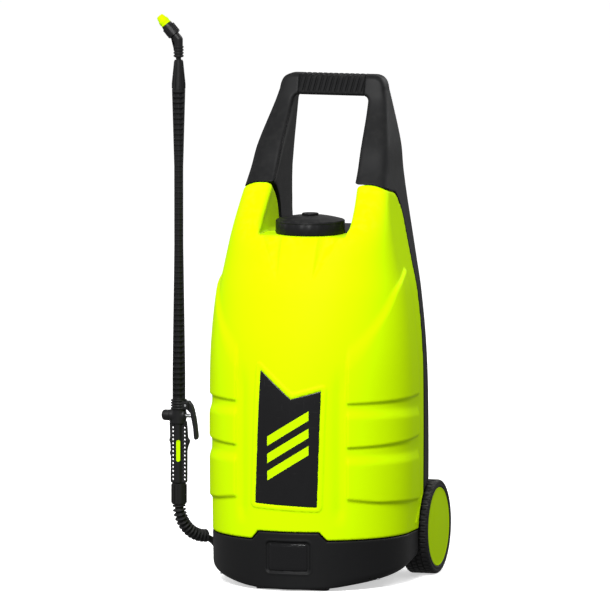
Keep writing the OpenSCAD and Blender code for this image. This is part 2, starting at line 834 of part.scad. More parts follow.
pump_at = [12, 60, cover_t];
pump_size = [38, 44, 42];
pump_flange = 6;
pump_screw_r = 1.6;
motor_r = 17;
motor_l = 56;
module at_pump_feet() {
    sloped() translate([pump_at[0] + pump_size[0] / 2, pump_at[1] + pump_size[1] / 2, 0])
        for (x = [-1, 1], y = [-1, 1])
            translate([x * (pump_size[0] / 2 - 4), y * (pump_size[1] / 2 + pump_flange - 3), 0])
                children();
}
port_x = [18, 42];
port_z = 30;
port_l = 12;
module pump_head() {
    color("#333333") difference() {
        union() {
            sloped() translate(pump_at) {
                translate([0, -pump_flange, 0]) cube([pump_size[0], pump_size[1] + 2 * pump_flange, 3]);
                cube(pump_size);
            }
            for (x = port_x) sloped() translate([x, pump_at[1] + pump_size[1] - 1, port_z])
                rotate([-90, 0, 0])
                cylinder(h = port_l + 1, r = tube_r - 0.5, $fn = 32);
        }
        for (x = port_x) sloped() translate([x, pump_at[1] + pump_size[1] - 8, port_z])
            rotate([-90, 0, 0])
            cylinder(h = port_l + 10, r = 2, $fn = 24);
        at_pump_feet() cylinder(h = 10, r = pump_screw_r + 0.2, $fn = 24);
    }
}
module pump_motor() {
    color("silver") sloped()
        translate([pump_at[0] + pump_size[0], pump_at[1] + pump_size[1] / 2, cover_t + motor_r + 2])
        rotate([0, 90, 0]) {
            cylinder(h = motor_l, r = motor_r, $fn = 48);
            translate([0, 0, motor_l]) cylinder(h = 3, r = 6, $fn = 32);
        }
}
module pump_screws() {
    color("silver") at_pump_feet() {
        translate([0, 0, 0.5]) cylinder(h = cover_t + 2.6, r = pump_screw_r, $fn = 24);
        translate([0, 0, cover_t + 3]) cylinder(h = 2, r = pump_screw_r + 1.4, $fn = 24);
    }
}
module pressure_switch() {
    color("#7a1f1f") sloped() translate([pump_at[0] + 26, pump_at[1] + 14, cover_t + pump_size[2]]) {
        cylinder(h = 12, r = 8, $fn = 32);
        translate([0, 0, 12]) cylinder(h = 5, r = 4, $fn = 32);
    }
}
module control_board() {
    color("darkgreen") {
        translate([-board_half_w, board_y, board_z0])
            cube([2 * board_half_w, board_t, board_z1 - board_z0]);
        translate([-30, board_y - 9, board_z0 + 12]) cube([22, 9, 18]);
        translate([6, board_y - 12, board_z0 + 34]) cube([16, 12, 14]);
        translate([18, board_y - 6, board_z0 + 12]) cube([14, 6, 10]);
    }
}

// ---- Controls on the back ----
rocker_h = 20;
rocker_w = 13;
rocker_rest = 7;
module switch_bezel() {
    color("#181818") switch_place() difference() {
        union() {
            translate([0, 1, 0]) cube([26, 2, 34], center = true);
            translate([0, -9, 0]) cube([22, 18.2, 30], center = true);
        }
        translate([0, -2, 0]) cube([rocker_w + 0.8, 16, rocker_h + 3], center = true);
        rotate([0, 90, 0]) cylinder(h = rocker_w + 5, r = 1.5 + slip, center = true, $fn = 24);
    }
}
module rocker_switch() {
    color("#8a1c1c") switch_place() rotate([-rocker_rest, 0, 0]) {
        across(rocker_w) polygon([[-7, -6], [-7, 6], [2.6, rocker_h / 2], [1.2, 0],
        [2.6, -rocker_h / 2]]);
        rotate([0, 90, 0]) cylinder(h = rocker_w + 4, r = 1.5, center = true, $fn = 24);
    }
}
socket_r = 9;
flap_pin_z = 14.5;
flap_pin_y = 4;
flap_pin_r = 1;
flap_lug_x = 10.5;
flap_lug_t = 3;
flap_lug_h = 5;
flap_lug_l = flap_pin_y + 2;
module charge_socket() {
    color("#202020") socket_place() difference() {
        union() {
            translate([0, 0.8, 1]) cube([26, 1.6, 32], center = true);
            rotate([90, 0, 0]) cylinder(h = 16, r = socket_r, $fn = 48);
            for (side = [-1, 1]) translate([side * flap_lug_x, flap_lug_l / 2 + tiny, flap_pin_z])
                cube([flap_lug_t, flap_lug_l, flap_lug_h], center = true);
        }
        translate([0, 2, 0]) rotate([90, 0, 0]) cylinder(h = 12, r = 5, $fn = 32);
        translate([0, flap_pin_y, flap_pin_z]) rotate([0, 90, 0])
            cylinder(h = 40, r = flap_pin_r + 0.02, center = true, $fn = 24);
    }
    color("silver") socket_place() translate([0, -10.1, 0]) rotate([-90, 0, 0])
        cylinder(h = 3.1, r = 1.2, $fn = 24);
}
module flap_pin() {
    color("silver") socket_place() translate([0, flap_pin_y, flap_pin_z]) rotate([0, 90, 0])
        cylinder(h = 24, r = flap_pin_r, center = true, $fn = 24);
}
module socket_flap() {
    color("#303030") socket_place() difference() {
        union() {
            translate([0, 1.9, 0]) rotate([-90, 0, 0]) cylinder(h = 3.4, r = 11, $fn = 48);
            translate([0, 3.6, flap_pin_z / 2 + 1]) cube([14, 3.4, flap_pin_z - 2], center = true);
            translate([0, flap_pin_y, flap_pin_z]) rotate([0, 90, 0])
                cylinder(h = 17, r = 2.3, center = true, $fn = 32);
        }
        translate([0, flap_pin_y, flap_pin_z]) rotate([0, 90, 0])
            cylinder(h = 20, r = flap_pin_r + slip, center = true, $fn = 24);
    }
}

// ---- Hoses ----
tube_r = 5;
tube_sides = 10;
function unit(v) = v / norm(v);
function tangent(path, i) =
    unit(path[min(i + 1, len(path) - 1)] - path[max(i - 1, 0)]);
// A direction square to t, carried along from the one before
function square_to(t, n) = unit(n - (n * t) * t);
function normals(path, i = 0, n = [0.1, 0.2, 1]) =
    i == len(path) ? [] : let (m = square_to(tangent(path, i), n)) concat([m], normals(path, i + 1, m));
function catmull(p, i, t) =
    let (a = p[max(i - 1, 0)], b = p[i], c = p[i + 1], d = p[min(i + 2, len(p) - 1)])
    0.5 * (2 * b + (c - a) * t + (2 * a - 5 * b + 4 * c - d) * t^2 + (3 * b - a - 3 * c + d) * t^3);
function smooth(p, steps = 2) =
    concat([for (i = [0:len(p) - 2], k = [0:steps - 1]) catmull(p, i, k / steps)], [p[len(p) - 1]]);

// Round tube of radius r along a list of points
module tube(path, r, sides = tube_sides) {
    n = normals(path);
    rings = [for (i = [0:len(path) - 1]) let (t = tangent(path, i), u = n[i], v = cross(t, u))
        for (k = [0:sides - 1]) path[i] + r * (cos(360 * k / sides) * u + sin(360 * k / sides) * v)];
    last = len(path) - 1;
    polyhedron(rings, concat(
        [[for (k = [0:sides - 1]) sides - 1 - k]],
        [for (i = [0:last - 1], k = [0:sides - 1]) let (a = i * sides, b = a + sides, j = (k + 1) % sides)
            [a + k, a + j, b + j, b + k]],
        [[for (k = [0:sides - 1]) last * sides + k]]
    ));
}

SUCTION_PATH = [[42, -13.5, 49.5], [42, -5, 51], [43, 10, 53], [45, 28, 54], [46, 44, 57],
[45.5, 53, 66], [45, 55, 80]];
PRESSURE_PATH = [[18, -13.5, 49.5], [17, -4, 51], [12, 12, 55], [0, 35, 63], [-22, 58, 73], [-46, 82, 82],
    [-66, 106, 87], [-74, 124, 88], [-75, 139.8, 88]];
module suction_hose() {
    color("#d0d0d0") tube(smooth(SUCTION_PATH), tube_r - 0.5);
}
module pressure_hose() {
    color("#202020") tube(smooth(PRESSURE_PATH), tube_r - 0.5);
}

gland_l = 20;
module hose_gland() {
    color("#1d1d1d") translate([hose_exit[0], back_y, hose_exit[1]]) rotate([-90, 0, 0]) difference() {
        union() {
            translate([0, 0, -12]) cylinder(h = 13, r = gland_r, $fn = 48);
            cylinder(h = 6, r = 14, $fn = 6);
            translate([0, 0, 5]) cylinder(h = gland_l, r1 = gland_r, r2 = hose_r + 1.4, $fn = 48);
        }
        translate([0, 0, -13]) cylinder(h = 16, r = 3, $fn = 32);
        translate([0, 0, 2]) cylinder(h = gland_l + 10, r = hose_r + 0.1, $fn = 48);
    }
}

// Coil of the stored length, two turns wide and two high
floor_hose_z = hose_r + 0.2;
coil_mid_r = 11 * hose_r;
COIL_AT = [-20, 265];
coil_gap = 0.4;
module hose_coil() {
    color("#1e1e1e") translate([COIL_AT[0], COIL_AT[1], 0]) rotate_extrude($fn = round_n)
        translate([coil_mid_r - 2 * hose_r, 0.2]) square([4 * hose_r, 4 * hose_r]);
}
LEAD_PATH = [[-75, 155, 88], [-75, 168, 88], [-75, 182, 87.5], [-75, 196, 84], [-75, 208, 76],
[-76, 219, 64],
    [-78, 228, 50], [-79, 238, 36], [-80, 248, 24.5], [-80, 257, 18], [-80, 265, 15.2]];
module hose_lead() {
    color("#1e1e1e") tube(smooth(LEAD_PATH), hose_r);
}

sleeve_top_z = gun_low_z - 31.5;
sleeve_turn = 53.13;
// Point on the sleeve's bend, a degrees down from its upper end
function bend_point(a) =
    let (h = sleeve_bend_r * (1 - cos(a)))
    [gun_x + h * cos(sleeve_turn), gun_y + h * sin(sleeve_turn), sleeve_top_z - sleeve_bend_r * sin(a)];
FLOOR_PATH = [[-175, 69, 54], [-172, 80, 50.5], [-171, 92, 45], [-171, 105, 37], [-172, 118, 28],
[-173, 132, 19],
    [-175, 147, 11], [-176, 162, 6.5], [-174, 178, 5.2], [-165, 193, 5.2], [-150, 202, 5.2],
    [-128, 206, 5.2],
    [-100, 207, 5.2], [-70, 206, 5.2], [-45, 205, 5.2], [-20, 205, 5.2]];
module hose() {
    color("#1e1e1e") tube(concat(
        [[gun_x, gun_y, sleeve_top_z + 18]],
        [for (i = [0:8]) bend_point(90 * i / 8)],
        smooth(FLOOR_PATH)
    ), hose_r);
}

fins = 13;
fin_r = 10;
fin_t = 2.2;
sleeve_r = hose_r + 1.6;
module in_bend() {
    translate([gun_x, gun_y, sleeve_top_z]) rotate([0, 0, sleeve_turn]) translate([sleeve_bend_r, 0, 0])
        rotate([90, 0, 0]) children();
}
module hose_sleeve() {
    color("#1a1a1a") difference() {
        union() {
            in_bend() rotate([0, 0, 180]) rotate_extrude(angle = 90, $fn = round_n)
                translate([sleeve_bend_r, 0]) circle(r = sleeve_r, $fn = 32);
            for (i = [0:fins - 1]) let (a = 3 + 84 * i / (fins - 1)) in_bend() rotate([0, 0, 180 + a])
                translate([sleeve_bend_r, 0, 0]) rotate([90, 0, 0])
                    cylinder(h = fin_t, r = fin_r, center = true, $fn = 32);
        }
        in_bend() rotate([0, 0, 178]) rotate_extrude(angle = 94, $fn = round_n)
            translate([sleeve_bend_r, 0]) circle(r = hose_r + fit, $fn = 32);
    }
}

// ---- Spray gun ----
module at_gun() {
    translate([gun_x, gun_y, 0]) children();
}
nipple_r = 7;
nut_ribs = 12;
module hose_nut() {
    color("#1b1b1b") at_gun() difference() {
        union() {
            translate([0, 0, sleeve_top_z])
                cylinder(h = gun_low_z - sleeve_top_z - 0.2, r = 10.6, $fn = 48);
            for (i = [0:nut_ribs - 1]) rotate([0, 0, 360 * i / nut_ribs])
                translate([10, -1.2, sleeve_top_z + 2]) cube([2, 2.4, gun_low_z - sleeve_top_z - 4]);
        }
        translate([0, 0, sleeve_top_z - 1]) cylinder(h = 40, r = hose_r + fit, $fn = 32);
        translate([0, 0, gun_low_z - 13]) cylinder(h = 20, r = nipple_r + fit, $fn = 32);
    }
}

valve_z = gun_top_z - 24;
pivot = [12.5, gun_top_z - 8];
ladder_pitch = 6;
grip_half_d = 9;
module gun_body() {
    color("#1f1f1f") at_gun() difference() {
        union() {
            translate([0, 0, gun_low_z - 12]) cylinder(h = 14, r = nipple_r, $fn = 32);
            translate([-5, -grip_half_d, gun_low_z]) cube([10, 2 * grip_half_d, 92]);
            through(-4.5, 4.5) difference() {
                polygon([[-12.5, gun_low_z], [12.5, gun_low_z], [13, gun_low_z + 52],
                [17.5, gun_low_z + 64],
                    [13.5, gun_low_z + 70], [12, gun_low_z + 94], [-14, gun_low_z + 94],
                    [-14.5, gun_low_z + 64], [-12.5, gun_low_z + 45]]);
                for (i = [0:9], x = [-9, 9]) translate([x, gun_low_z + 6 + ladder_pitch * i])
                    square([3.6, 3.2], center = true);
            }
            translate([0, 0, valve_z - 12]) cylinder(h = gun_top_z - valve_z + 11, r = 10.6, $fn = 48);
            translate([-14, 0, valve_z]) rotate([0, 90, 0]) cylinder(h = 24, r = 9, $fn = 48);
            for (i = [0:3]) translate([0, 0, gun_top_z - 14 + 4 * i]) cylinder(h = 2, r = 12.4, $fn = 48);
            for (side = [-1, 1]) translate([pivot[0] - 1, side * 8.4, pivot[1]])
                cube([11, 2.6, 12], center = true);
        }
        translate([0, 0, valve_z + 4]) cylinder(h = 60, r = lance_seat_r + slip, $fn = 48);
        translate([-8, 0, valve_z]) rotate([0, 90, 0]) cylinder(h = 40, r = stem_r + slip, $fn = 32);
        translate([0, 0, gun_low_z - 13]) cylinder(h = valve_z - gun_low_z + 10, r = 2.5, $fn = 24);
        translate([pivot[0], 0, pivot[1]]) rotate([90, 0, 0])
            cylinder(h = 40, r = pin_r + 0.02, center = true, $fn = 32);
        translate([pivot[0] - 6, -7, pivot[1] - 7]) cube([20, 14, 14]);
    }
}
module gun_insert() {
    color("yellowgreen") at_gun() for (side = [-1, 1])
        translate([0, side * (grip_half_d + 0.6), 0]) through(-0.55, 0.55)
            rounded(-3.2, gun_low_z + 33, 3.2, gun_low_z + 66, 3.1);
}
module gun_valve_cap() {
    color("#151515") at_gun() translate([-14, 0, valve_z]) rotate([0, -90, 0]) rotate_extrude($fn = 48)
        polygon([[0, 0.1], [8.3, 0.1], [8.3, 8], [7.4, 10.4], [5, 12], [0, 12.6]]);
}
pin_r = 1.6;
module trigger_pin() {
    color("silver") at_gun() translate([pivot[0], 0, pivot[1]]) rotate([90, 0, 0])
        cylinder(h = 20.4, r = pin_r, center = true, $fn = 32);
}
stem_r = 2;
stem_out = 19.4;
module valve_stem() {
    color("silver") at_gun() translate([0, 0, valve_z]) rotate([0, 90, 0]) {
        cylinder(h = stem_out, r = stem_r, $fn = 32);
        translate([0, 0, stem_out - 1]) cylinder(h = 1, r = 3.4, $fn = 32);
    }
}
spring_turns = 4;
spring_r = 2.9;
spring_from = 11;
spring_to = stem_out - 2;
module valve_spring() {
    color("gray") at_gun() tube([for (i = [0:12 * spring_turns]) let (a = 30 * i)
        [spring_from + (spring_to - spring_from) * i / (12 * spring_turns), spring_r * cos(a),
            valve_z + spring_r * sin(a)]],
        0.45, 8);
}
trigger_ridges = 3;
module trigger() {
    z = gun_top_z;
    color("#232323") at_gun() difference() {
        through(-6.2, 6.2) polygon([
            [9.4, z - 2.5], [16, z - 2], [21, z - 8], [23.5, z - 15], [26, z - 26], [28.3, z - 42],
                [29.8, z - 56],
            [28, z - 60], [25, z - 58], [23.6, z - 42], [21, z - 28], [19.5, z - 20], [15, z - 15],
                [9.4, z - 13]
        ]);
        translate([pivot[0], 0, pivot[1]]) rotate([90, 0, 0])
            cylinder(h = 40, r = pin_r + slip, center = true, $fn = 32);
        for (i = [0:trigger_ridges - 1]) translate([24.2 + 1.1 * i, 0, z - 13 - 4.6 * i])
            rotate([0, 12, 0])
            cube([3, 20, 1.6], center = true);
    }
}

// ---- Lance ----
lance_seat_r = 8;
lance_z0 = gun_top_z + 0.4;
lance_z1 = lance_z0 + lance_l;
lance_end_half = 9.6;
lance_top_half = 10;
rung_pitch = 8;
rung_t = 1.6;
// Half width of the lance at height z above its lower end
function lance_half(z) =
    let (t = z / lance_l)
    t < 0.09 ? lance_end_half
    : t < 0.48 ? lance_end_half + (lance_r - lance_end_half) * (t - 0.09) / 0.39
    : t < 0.77 ? lance_r
    : lance_r + (lance_top_half - lance_r) * (t - 0.77) / 0.23;
module lance_tube() {
    rungs = floor((lance_l - 4) / rung_pitch);
    color("#1c1c1c") at_gun() difference() {
        union() {
            rotate_extrude($fn = 32) polygon(concat(
                [[0, lance_z0], [lance_end_half, lance_z0]],
                [for (i = [0:rungs - 1], k = [0:3])
                    let (z = rung_pitch * i + (k < 2 ? 0 : rung_pitch - rung_t) + 2)
                    [k == 1 || k == 2 ? lance_r - 1.6 : lance_half(z) - 0.2, lance_z0 + z]],
                [[lance_top_half - 0.2, lance_z1 - 4], [lance_top_half - 0.2, lance_z1], [0, lance_z1]]
            ));
            translate([0, 0, valve_z + 6])
                cylinder(h = lance_z0 - valve_z - 5, r = lance_seat_r, $fn = 48);
            for (side = [0, 1]) mirror([side, 0, 0]) through(-1.8, 1.8) polygon(concat(
                [[0, lance_z0]], [for (i = [0:12]) let (z = lance_l * i / 12) [lance_half(z),
                    lance_z0 + z]], [[0, lance_z1]]));
        }
        translate([0, 0, valve_z]) cylinder(h = far * 2, r = 2.2, $fn = 24);
    }
}
nut_z = lance_z1 + 0.2;
lance_nut_h = 44;
module lance_nut() {
    color("#181818") at_gun() translate([0, 0, nut_z]) difference() {
        union() {
            cylinder(h = lance_nut_h, r1 = 9.6, r2 = 6.2, $fn = 48);
            for (i = [0:9]) rotate([0, 0, 36 * i]) rotate([90, 0, 0]) translate([0, 0, -0.9])
                linear_extrude(1.8) polygon([[4, 1], [10.6, 1], [10.6, 8], [7, lance_nut_h - 2],
                [4, lance_nut_h - 2]]);
        }
        translate([0, 0, -1]) cylinder(h = far, r = neck_tube_r + slip, $fn = 32);
    }
}
neck_tube_r = 3.8;
elbow_z = nut_z + lance_nut_h + 31;
nozzle_tilt = 41;
elbow_r = 6.4;
module at_nozzle() {
    translate([gun_x, gun_y, elbow_z]) rotate([0, -nozzle_tilt, 0]) children();
}
module elbow() {
    color("#1b1b1b") difference() {
        union() {
            at_gun() translate([0, 0, nut_z + lance_nut_h - 12])
                cylinder(h = 20, r = neck_tube_r, $fn = 32);
            at_gun() translate([0, 0, nut_z + lance_nut_h + 4]) cylinder(h = 27, r = elbow_r, $fn = 48);
            for (i = [0:3]) at_gun() translate([0, 0, nut_z + lance_nut_h + 5 + 4.5 * i])
                cylinder(h = 2, r = elbow_r + 1.3, $fn = 48);
            translate([gun_x, gun_y, elbow_z]) sphere(r = elbow_r + 0.01, $fn = 48);
            at_nozzle() cylinder(h = 9, r = elbow_r, $fn = 48);
            at_nozzle() cylinder(h = 24, r = neck_tube_r, $fn = 32);
        }
        at_gun() translate([0, 0, nut_z]) cylinder(h = elbow_z - nut_z, r = 1.8, $fn = 24);
        at_nozzle() cylinder(h = 40, r = 1.8, $fn = 24);
    }
}
collar_ribs = 16;
module nozzle_collar() {
    color("#151515") at_nozzle() difference() {
        union() {
            translate([0, 0, 9.2]) cylinder(h = 19, r1 = 9.6, r2 = 8.4, $fn = 48);
            for (i = [0:collar_ribs - 1]) rotate([0, 0, 360 * i / collar_ribs])
                translate([7.5, -0.7, 10.5]) cube([2.7, 1.4, 14]);
        }
        translate([0, 0, 8]) cylinder(h = 30, r = neck_tube_r + fit, $fn = 32);
        translate([0, 0, 20]) cylinder(h = 30, r = tip_stem_r + slip, $fn = 32);
    }
}
tip_stem_r = 6;
module spray_seal() {
    color("black") at_nozzle() translate([0, 0, 21.2]) rotate_extrude($fn = 48) translate([4.95, 0])
        circle(r = 0.9, $fn = 24);
}
module nozzle_tip() {
    color("yellowgreen") at_nozzle() difference() {
        union() {
            translate([0, 0, 24.4]) cylinder(h = 6, r = tip_stem_r, $fn = 48);
            translate([0, 0, 28.6]) cylinder(h = 9, r = 8, $fn = 48);
            translate([0, 0, 37.6]) cylinder(h = 8, r1 = 7.4, r2 = 4.6, $fn = 48);
        }
        translate([0, 0, 20]) cylinder(h = 40, r = 0.8, $fn = 24);
        translate([0, 0, 43]) cylinder(h = 4, r = 2.2, $fn = 24);
    }
}

module placed() {
    translate([0, foot_y, 0]) children();
}

placed() tank();
placed() tank_outlet();
placed() front_plate();
placed() base_housing();
placed() bottom_cover();
placed() bottom_screws();
placed() front_foot();
placed() badge_plate();
placed() back_frame();
placed() frame_screws();
placed() grip_sleeve();
placed() neck_ring();
placed() filler_cap();
placed() cap_gasket();
placed() vent_valve();
placed() strainer();
placed() axle();
placed() axle_washers();
placed() axle_clips();
placed() tyre("left");  // tyre_left
placed() tyre("right");  // tyre_right
placed() rim("left");  // rim_left
placed() rim("right");  // rim_right
placed() wheel_disc("left");  // wheel_disc_left
placed() wheel_disc("right");  // wheel_disc_right
placed() battery_pack();
placed() battery_strap();
placed() pump_motor();
placed() pump_head();
placed() pump_screws();
placed() pressure_switch();
placed() control_board();
placed() rocker_switch();
placed() switch_bezel();
placed() charge_socket();
placed() socket_flap();
placed() flap_pin();
placed() suction_hose();
placed() pressure_hose();
placed() hose_gland();
placed() hose();
placed() hose_coil();
placed() hose_lead();
placed() hose_sleeve();
placed() hose_nut();
placed() gun_body();
placed() gun_insert();
placed() gun_valve_cap();
placed() trigger();
placed() trigger_pin();
placed() valve_stem();
placed() valve_spring();
placed() lance_tube();
placed() lance_nut();
placed() elbow();
placed() nozzle_collar();
placed() nozzle_tip();
placed() spray_seal();
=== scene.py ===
"""Looks of a wheeled sprayer cart: a tank on a two-wheeled base, with a spray gun and lance on a hose.

Shapes are worked out in millimetres, measured from the filler cap's axis, and are moved into the frame,
in metres, when their meshes are made.
"""

import json
import logging
import math
from dataclasses import dataclass, field
from enum import Enum
from typing import Callable, Iterable, Sequence

import bmesh
import bpy
import numpy as np
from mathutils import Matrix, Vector

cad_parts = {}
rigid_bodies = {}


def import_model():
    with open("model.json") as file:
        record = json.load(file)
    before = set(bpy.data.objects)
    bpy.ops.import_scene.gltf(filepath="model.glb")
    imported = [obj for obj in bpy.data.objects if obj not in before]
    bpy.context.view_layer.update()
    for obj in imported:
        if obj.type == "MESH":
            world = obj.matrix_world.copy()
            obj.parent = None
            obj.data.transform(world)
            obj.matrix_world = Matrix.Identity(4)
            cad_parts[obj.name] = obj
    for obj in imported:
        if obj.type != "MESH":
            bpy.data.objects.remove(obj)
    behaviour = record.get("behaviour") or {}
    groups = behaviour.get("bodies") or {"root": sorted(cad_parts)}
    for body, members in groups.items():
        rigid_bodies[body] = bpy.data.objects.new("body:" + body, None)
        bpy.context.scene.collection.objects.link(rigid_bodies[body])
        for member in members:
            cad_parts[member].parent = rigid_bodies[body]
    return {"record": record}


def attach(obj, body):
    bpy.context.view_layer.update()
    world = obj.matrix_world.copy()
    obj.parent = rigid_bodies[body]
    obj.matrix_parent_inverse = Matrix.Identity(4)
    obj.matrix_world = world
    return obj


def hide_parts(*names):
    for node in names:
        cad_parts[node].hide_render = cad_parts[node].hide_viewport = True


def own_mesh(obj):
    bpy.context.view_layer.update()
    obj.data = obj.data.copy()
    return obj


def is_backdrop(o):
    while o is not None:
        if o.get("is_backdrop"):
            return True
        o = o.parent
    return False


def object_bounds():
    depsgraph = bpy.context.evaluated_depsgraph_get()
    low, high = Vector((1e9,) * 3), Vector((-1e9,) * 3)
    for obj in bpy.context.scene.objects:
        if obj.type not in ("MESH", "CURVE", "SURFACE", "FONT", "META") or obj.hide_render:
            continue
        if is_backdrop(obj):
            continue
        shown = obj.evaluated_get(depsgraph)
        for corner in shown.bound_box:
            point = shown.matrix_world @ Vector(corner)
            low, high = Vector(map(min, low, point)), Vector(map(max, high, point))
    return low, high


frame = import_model()
cad_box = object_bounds()
log = logging.getLogger("sprayer_cart")

Triple = tuple[float, float, float]
Points = list[Triple]
Profile = list[tuple[float, float]]
Shape = Callable[[np.ndarray, np.ndarray, np.ndarray], np.ndarray]
Wave = Callable[[np.ndarray, np.ndarray], np.ndarray]

BODY_OF: dict[str, str] = {
    node: body for body, nodes in frame["record"]["behaviour"]["bodies"].items() for node in nodes
}
SLOT_OF: dict[str, str] = {part["node"]: part["material_slot"] for part in frame["record"]["subparts"]}
PIECE_SLOTS: dict[str, str] = {}  # the slot of each piece that is made here

MM = 0.001  # a millimetre in metres
# Places that several pieces share, in millimetres.
FOOT_Y = 100.0  # the cap's axis lies this far behind the frame's origin
AXLE_Y, AXLE_Z = 140.0, 71.0
LANCE_X, LANCE_Y = -211.0, 20.0  # the upright axis of gun and lance
SEAM_Y = 88.0  # the tank ends and the back frame begins here
FRAME_SCREWS = ((100.0, 190.0), (94.0, 440.0))  # x to either side, and height
BADGE_Z = 51.25  # middle of the base's front recess
GRIP_Z = 736.5  # middle of the hand bar
FAR = 1000.0  # a distance that switches a form on or off


# ---------------------------------------------------------------- meshes

SHARP = 32.0  # edges that turn by more degrees than this are rounded
FLAT = 0.6  # faces that turn by fewer degrees than this become one face


def to_frame(points: np.ndarray) -> np.ndarray:
    """Moves points from millimetres round the cap's axis into the frame.

    Args:
        points: Array of x, y, z rows.

    Returns:
        The same points in metres, in the frame.
    """
    return (np.asarray(points, dtype=float) + (0.0, FOOT_Y, 0.0)) * MM


def add_piece(name: str, mesh: bpy.types.Mesh, body: str, slot: str, *nodes: str) -> bpy.types.Object:
    """Puts a mesh into the scene as a piece of the cart.

    Args:
        name: Name of the piece.
        mesh: Its mesh, in the frame.
        body: The CAD body that it moves with.
        slot: The record's material slot.
        *nodes: CAD nodes that it stands for.

    Returns:
        The new object.
    """
    piece = bpy.data.objects.new(name, mesh)
    bpy.context.scene.collection.objects.link(piece)
    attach(piece, body)
    PIECE_SLOTS[name] = slot
    if nodes:
        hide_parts(*nodes)
    return piece


def mesh_of(
    name: str, points: np.ndarray, faces: Iterable[Sequence[int]], smooth: bool = True
) -> bpy.types.Mesh:
    """Makes a mesh from points in millimetres round the cap's axis.

    Args:
        name: Name of the mesh.
        points: Array of x, y, z rows.
        faces: Corners of each face.
        smooth: Whether its faces are shaded smooth.

    Returns:
        The mesh, in the frame.
    """
    mesh = bpy.data.meshes.new(name)
    mesh.from_pydata(to_frame(points).tolist(), [], [tuple(f) for f in faces])
    mesh.validate()
    if smooth:
        mesh.shade_smooth()
    return mesh


def quad_mesh(name: str, points: np.ndarray, quads: np.ndarray) -> bpy.types.Mesh:
    """Makes a large smooth mesh of four-sided faces from points in millimetres.

    Args:
        name: Name of the mesh.
        points: Array of x, y, z rows.
        quads: Array of four corners a row.

    Returns:
        The mesh, in the frame.
    """
    mesh = bpy.data.meshes.new(name)
    mesh.vertices.add(len(points))
    mesh.vertices.foreach_set("co", to_frame(points).astype(np.float32).ravel())
    mesh.loops.add(quads.size)
    mesh.loops.foreach_set("vertex_index", quads.astype(np.int32).ravel())
    mesh.polygons.add(len(quads))
    mesh.polygons.foreach_set("loop_start", np.arange(0, quads.size, 4, dtype=np.int32))
    mesh.update(calc_edges=True)
    mesh.shade_smooth()
    return mesh


def crease(piece: bpy.types.Object, width: float) -> None:
    """Rounds a piece's sharp edges and keeps its flats flat.

    Args:
        piece: The piece.
        width: Width of the rounding, in millimetres.
    """
    rounding = piece.modifiers.new("rounding", "BEVEL")
    rounding.width = width * MM
    rounding.segments = 2
    rounding.limit_method = "ANGLE"
    rounding.angle_limit = math.radians(SHARP)
    rounding.harden_normals = False
    rounding.use_clamp_overlap = True
    flats = piece.modifiers.new("flats", "WEIGHTED_NORMAL")
    flats.keep_sharp = True
    flats.weight = 60


def soften(node_name: str, width: float) -> None:
    """Stands a copy with rounded edges in for a CAD node.

    Args:
        node_name: The CAD node.
        width: Width of the rounding, in millimetres.
    """
    source = bpy.data.objects[node_name]
    work = bmesh.new()
    work.from_mesh(source.data)
    work.transform(source.matrix_world)
    bmesh.ops.remove_doubles(work, verts=work.verts, dist=1e-6)
    bmesh.ops.dissolve_limit(
        work, angle_limit=math.radians(FLAT), verts=work.verts, edges=work.edges, delimit={"NORMAL"}
    )
    mesh = bpy.data.meshes.new(f"{node_name}_rounded")
    work.to_mesh(mesh)
    work.free()
    mesh.shade_smooth()
    piece = add_piece(f"{node_name}_rounded", mesh, BODY_OF[node_name], SLOT_OF[node_name], node_name)
    crease(piece, width)


def ring_mesh(name: str, points: np.ndarray, rings: int, steps: int) -> bpy.types.Mesh:
    """Makes a closed mesh from rings of points, of which the last joins the first.

    Args:
        name: Name of the mesh.
        points: The points of one ring after another, in millimetres.
        rings: Number of rings.
        steps: Points in each ring.

    Returns:
        The mesh, in the frame, with its faces turned outward.
    """
    faces = [
        (i * steps + j, i * steps + (j + 1) % steps, k * steps + (j + 1) % steps, k * steps + j)
        for i in range(rings)
        for k in [(i + 1) % rings]
        for j in range(steps)
    ]
    mesh = mesh_of(name, points, faces)
    work = bmesh.new()
    work.from_mesh(mesh)
    bmesh.ops.remove_doubles(work, verts=work.verts, dist=1e-7)
    bmesh.ops.recalc_face_normals(work, faces=work.faces)
    work.to_mesh(mesh)
    work.free()
    return mesh


def lathe(
    name: str,
    profile: Sequence[tuple[float, float]],
    steps: int,
    at: Triple = (0, 0, 0),
    axis: Triple = (0, 0, 1),
    wave: Wave | None = None,
) -> bpy.types.Mesh:
    """Turns a closed profile round an axis.

    Args:
        name: Name of the mesh.
        profile: Radius and height of each corner, in order round the section.
        steps: Faces round the axis.
        at: Place of height 0 on the axis.
        axis: Direction of the axis.
        wave: Change of the radius at each height and turn, in radians.

    Returns:
        The mesh, in the frame.
    """
    turns = np.arange(steps) * math.tau / steps
    radii = np.array([p[0] for p in profile])[:, None]
    heights = np.array([p[1] for p in profile])[:, None]
    around = np.broadcast_to(turns, (len(profile), steps))
    tall = np.broadcast_to(heights, around.shape)
    off_axis = radii > 0.5
    wide = radii + (wave(tall, around) * off_axis if wave else 0.0)
    flat = np.stack([wide * np.cos(around), wide * np.sin(around), tall], axis=-1).reshape(-1, 3)
    turn = np.array(Vector((0, 0, 1)).rotation_difference(Vector(axis)).to_matrix())
    return ring_mesh(name, flat @ turn.T + np.array(at), len(profile), steps)


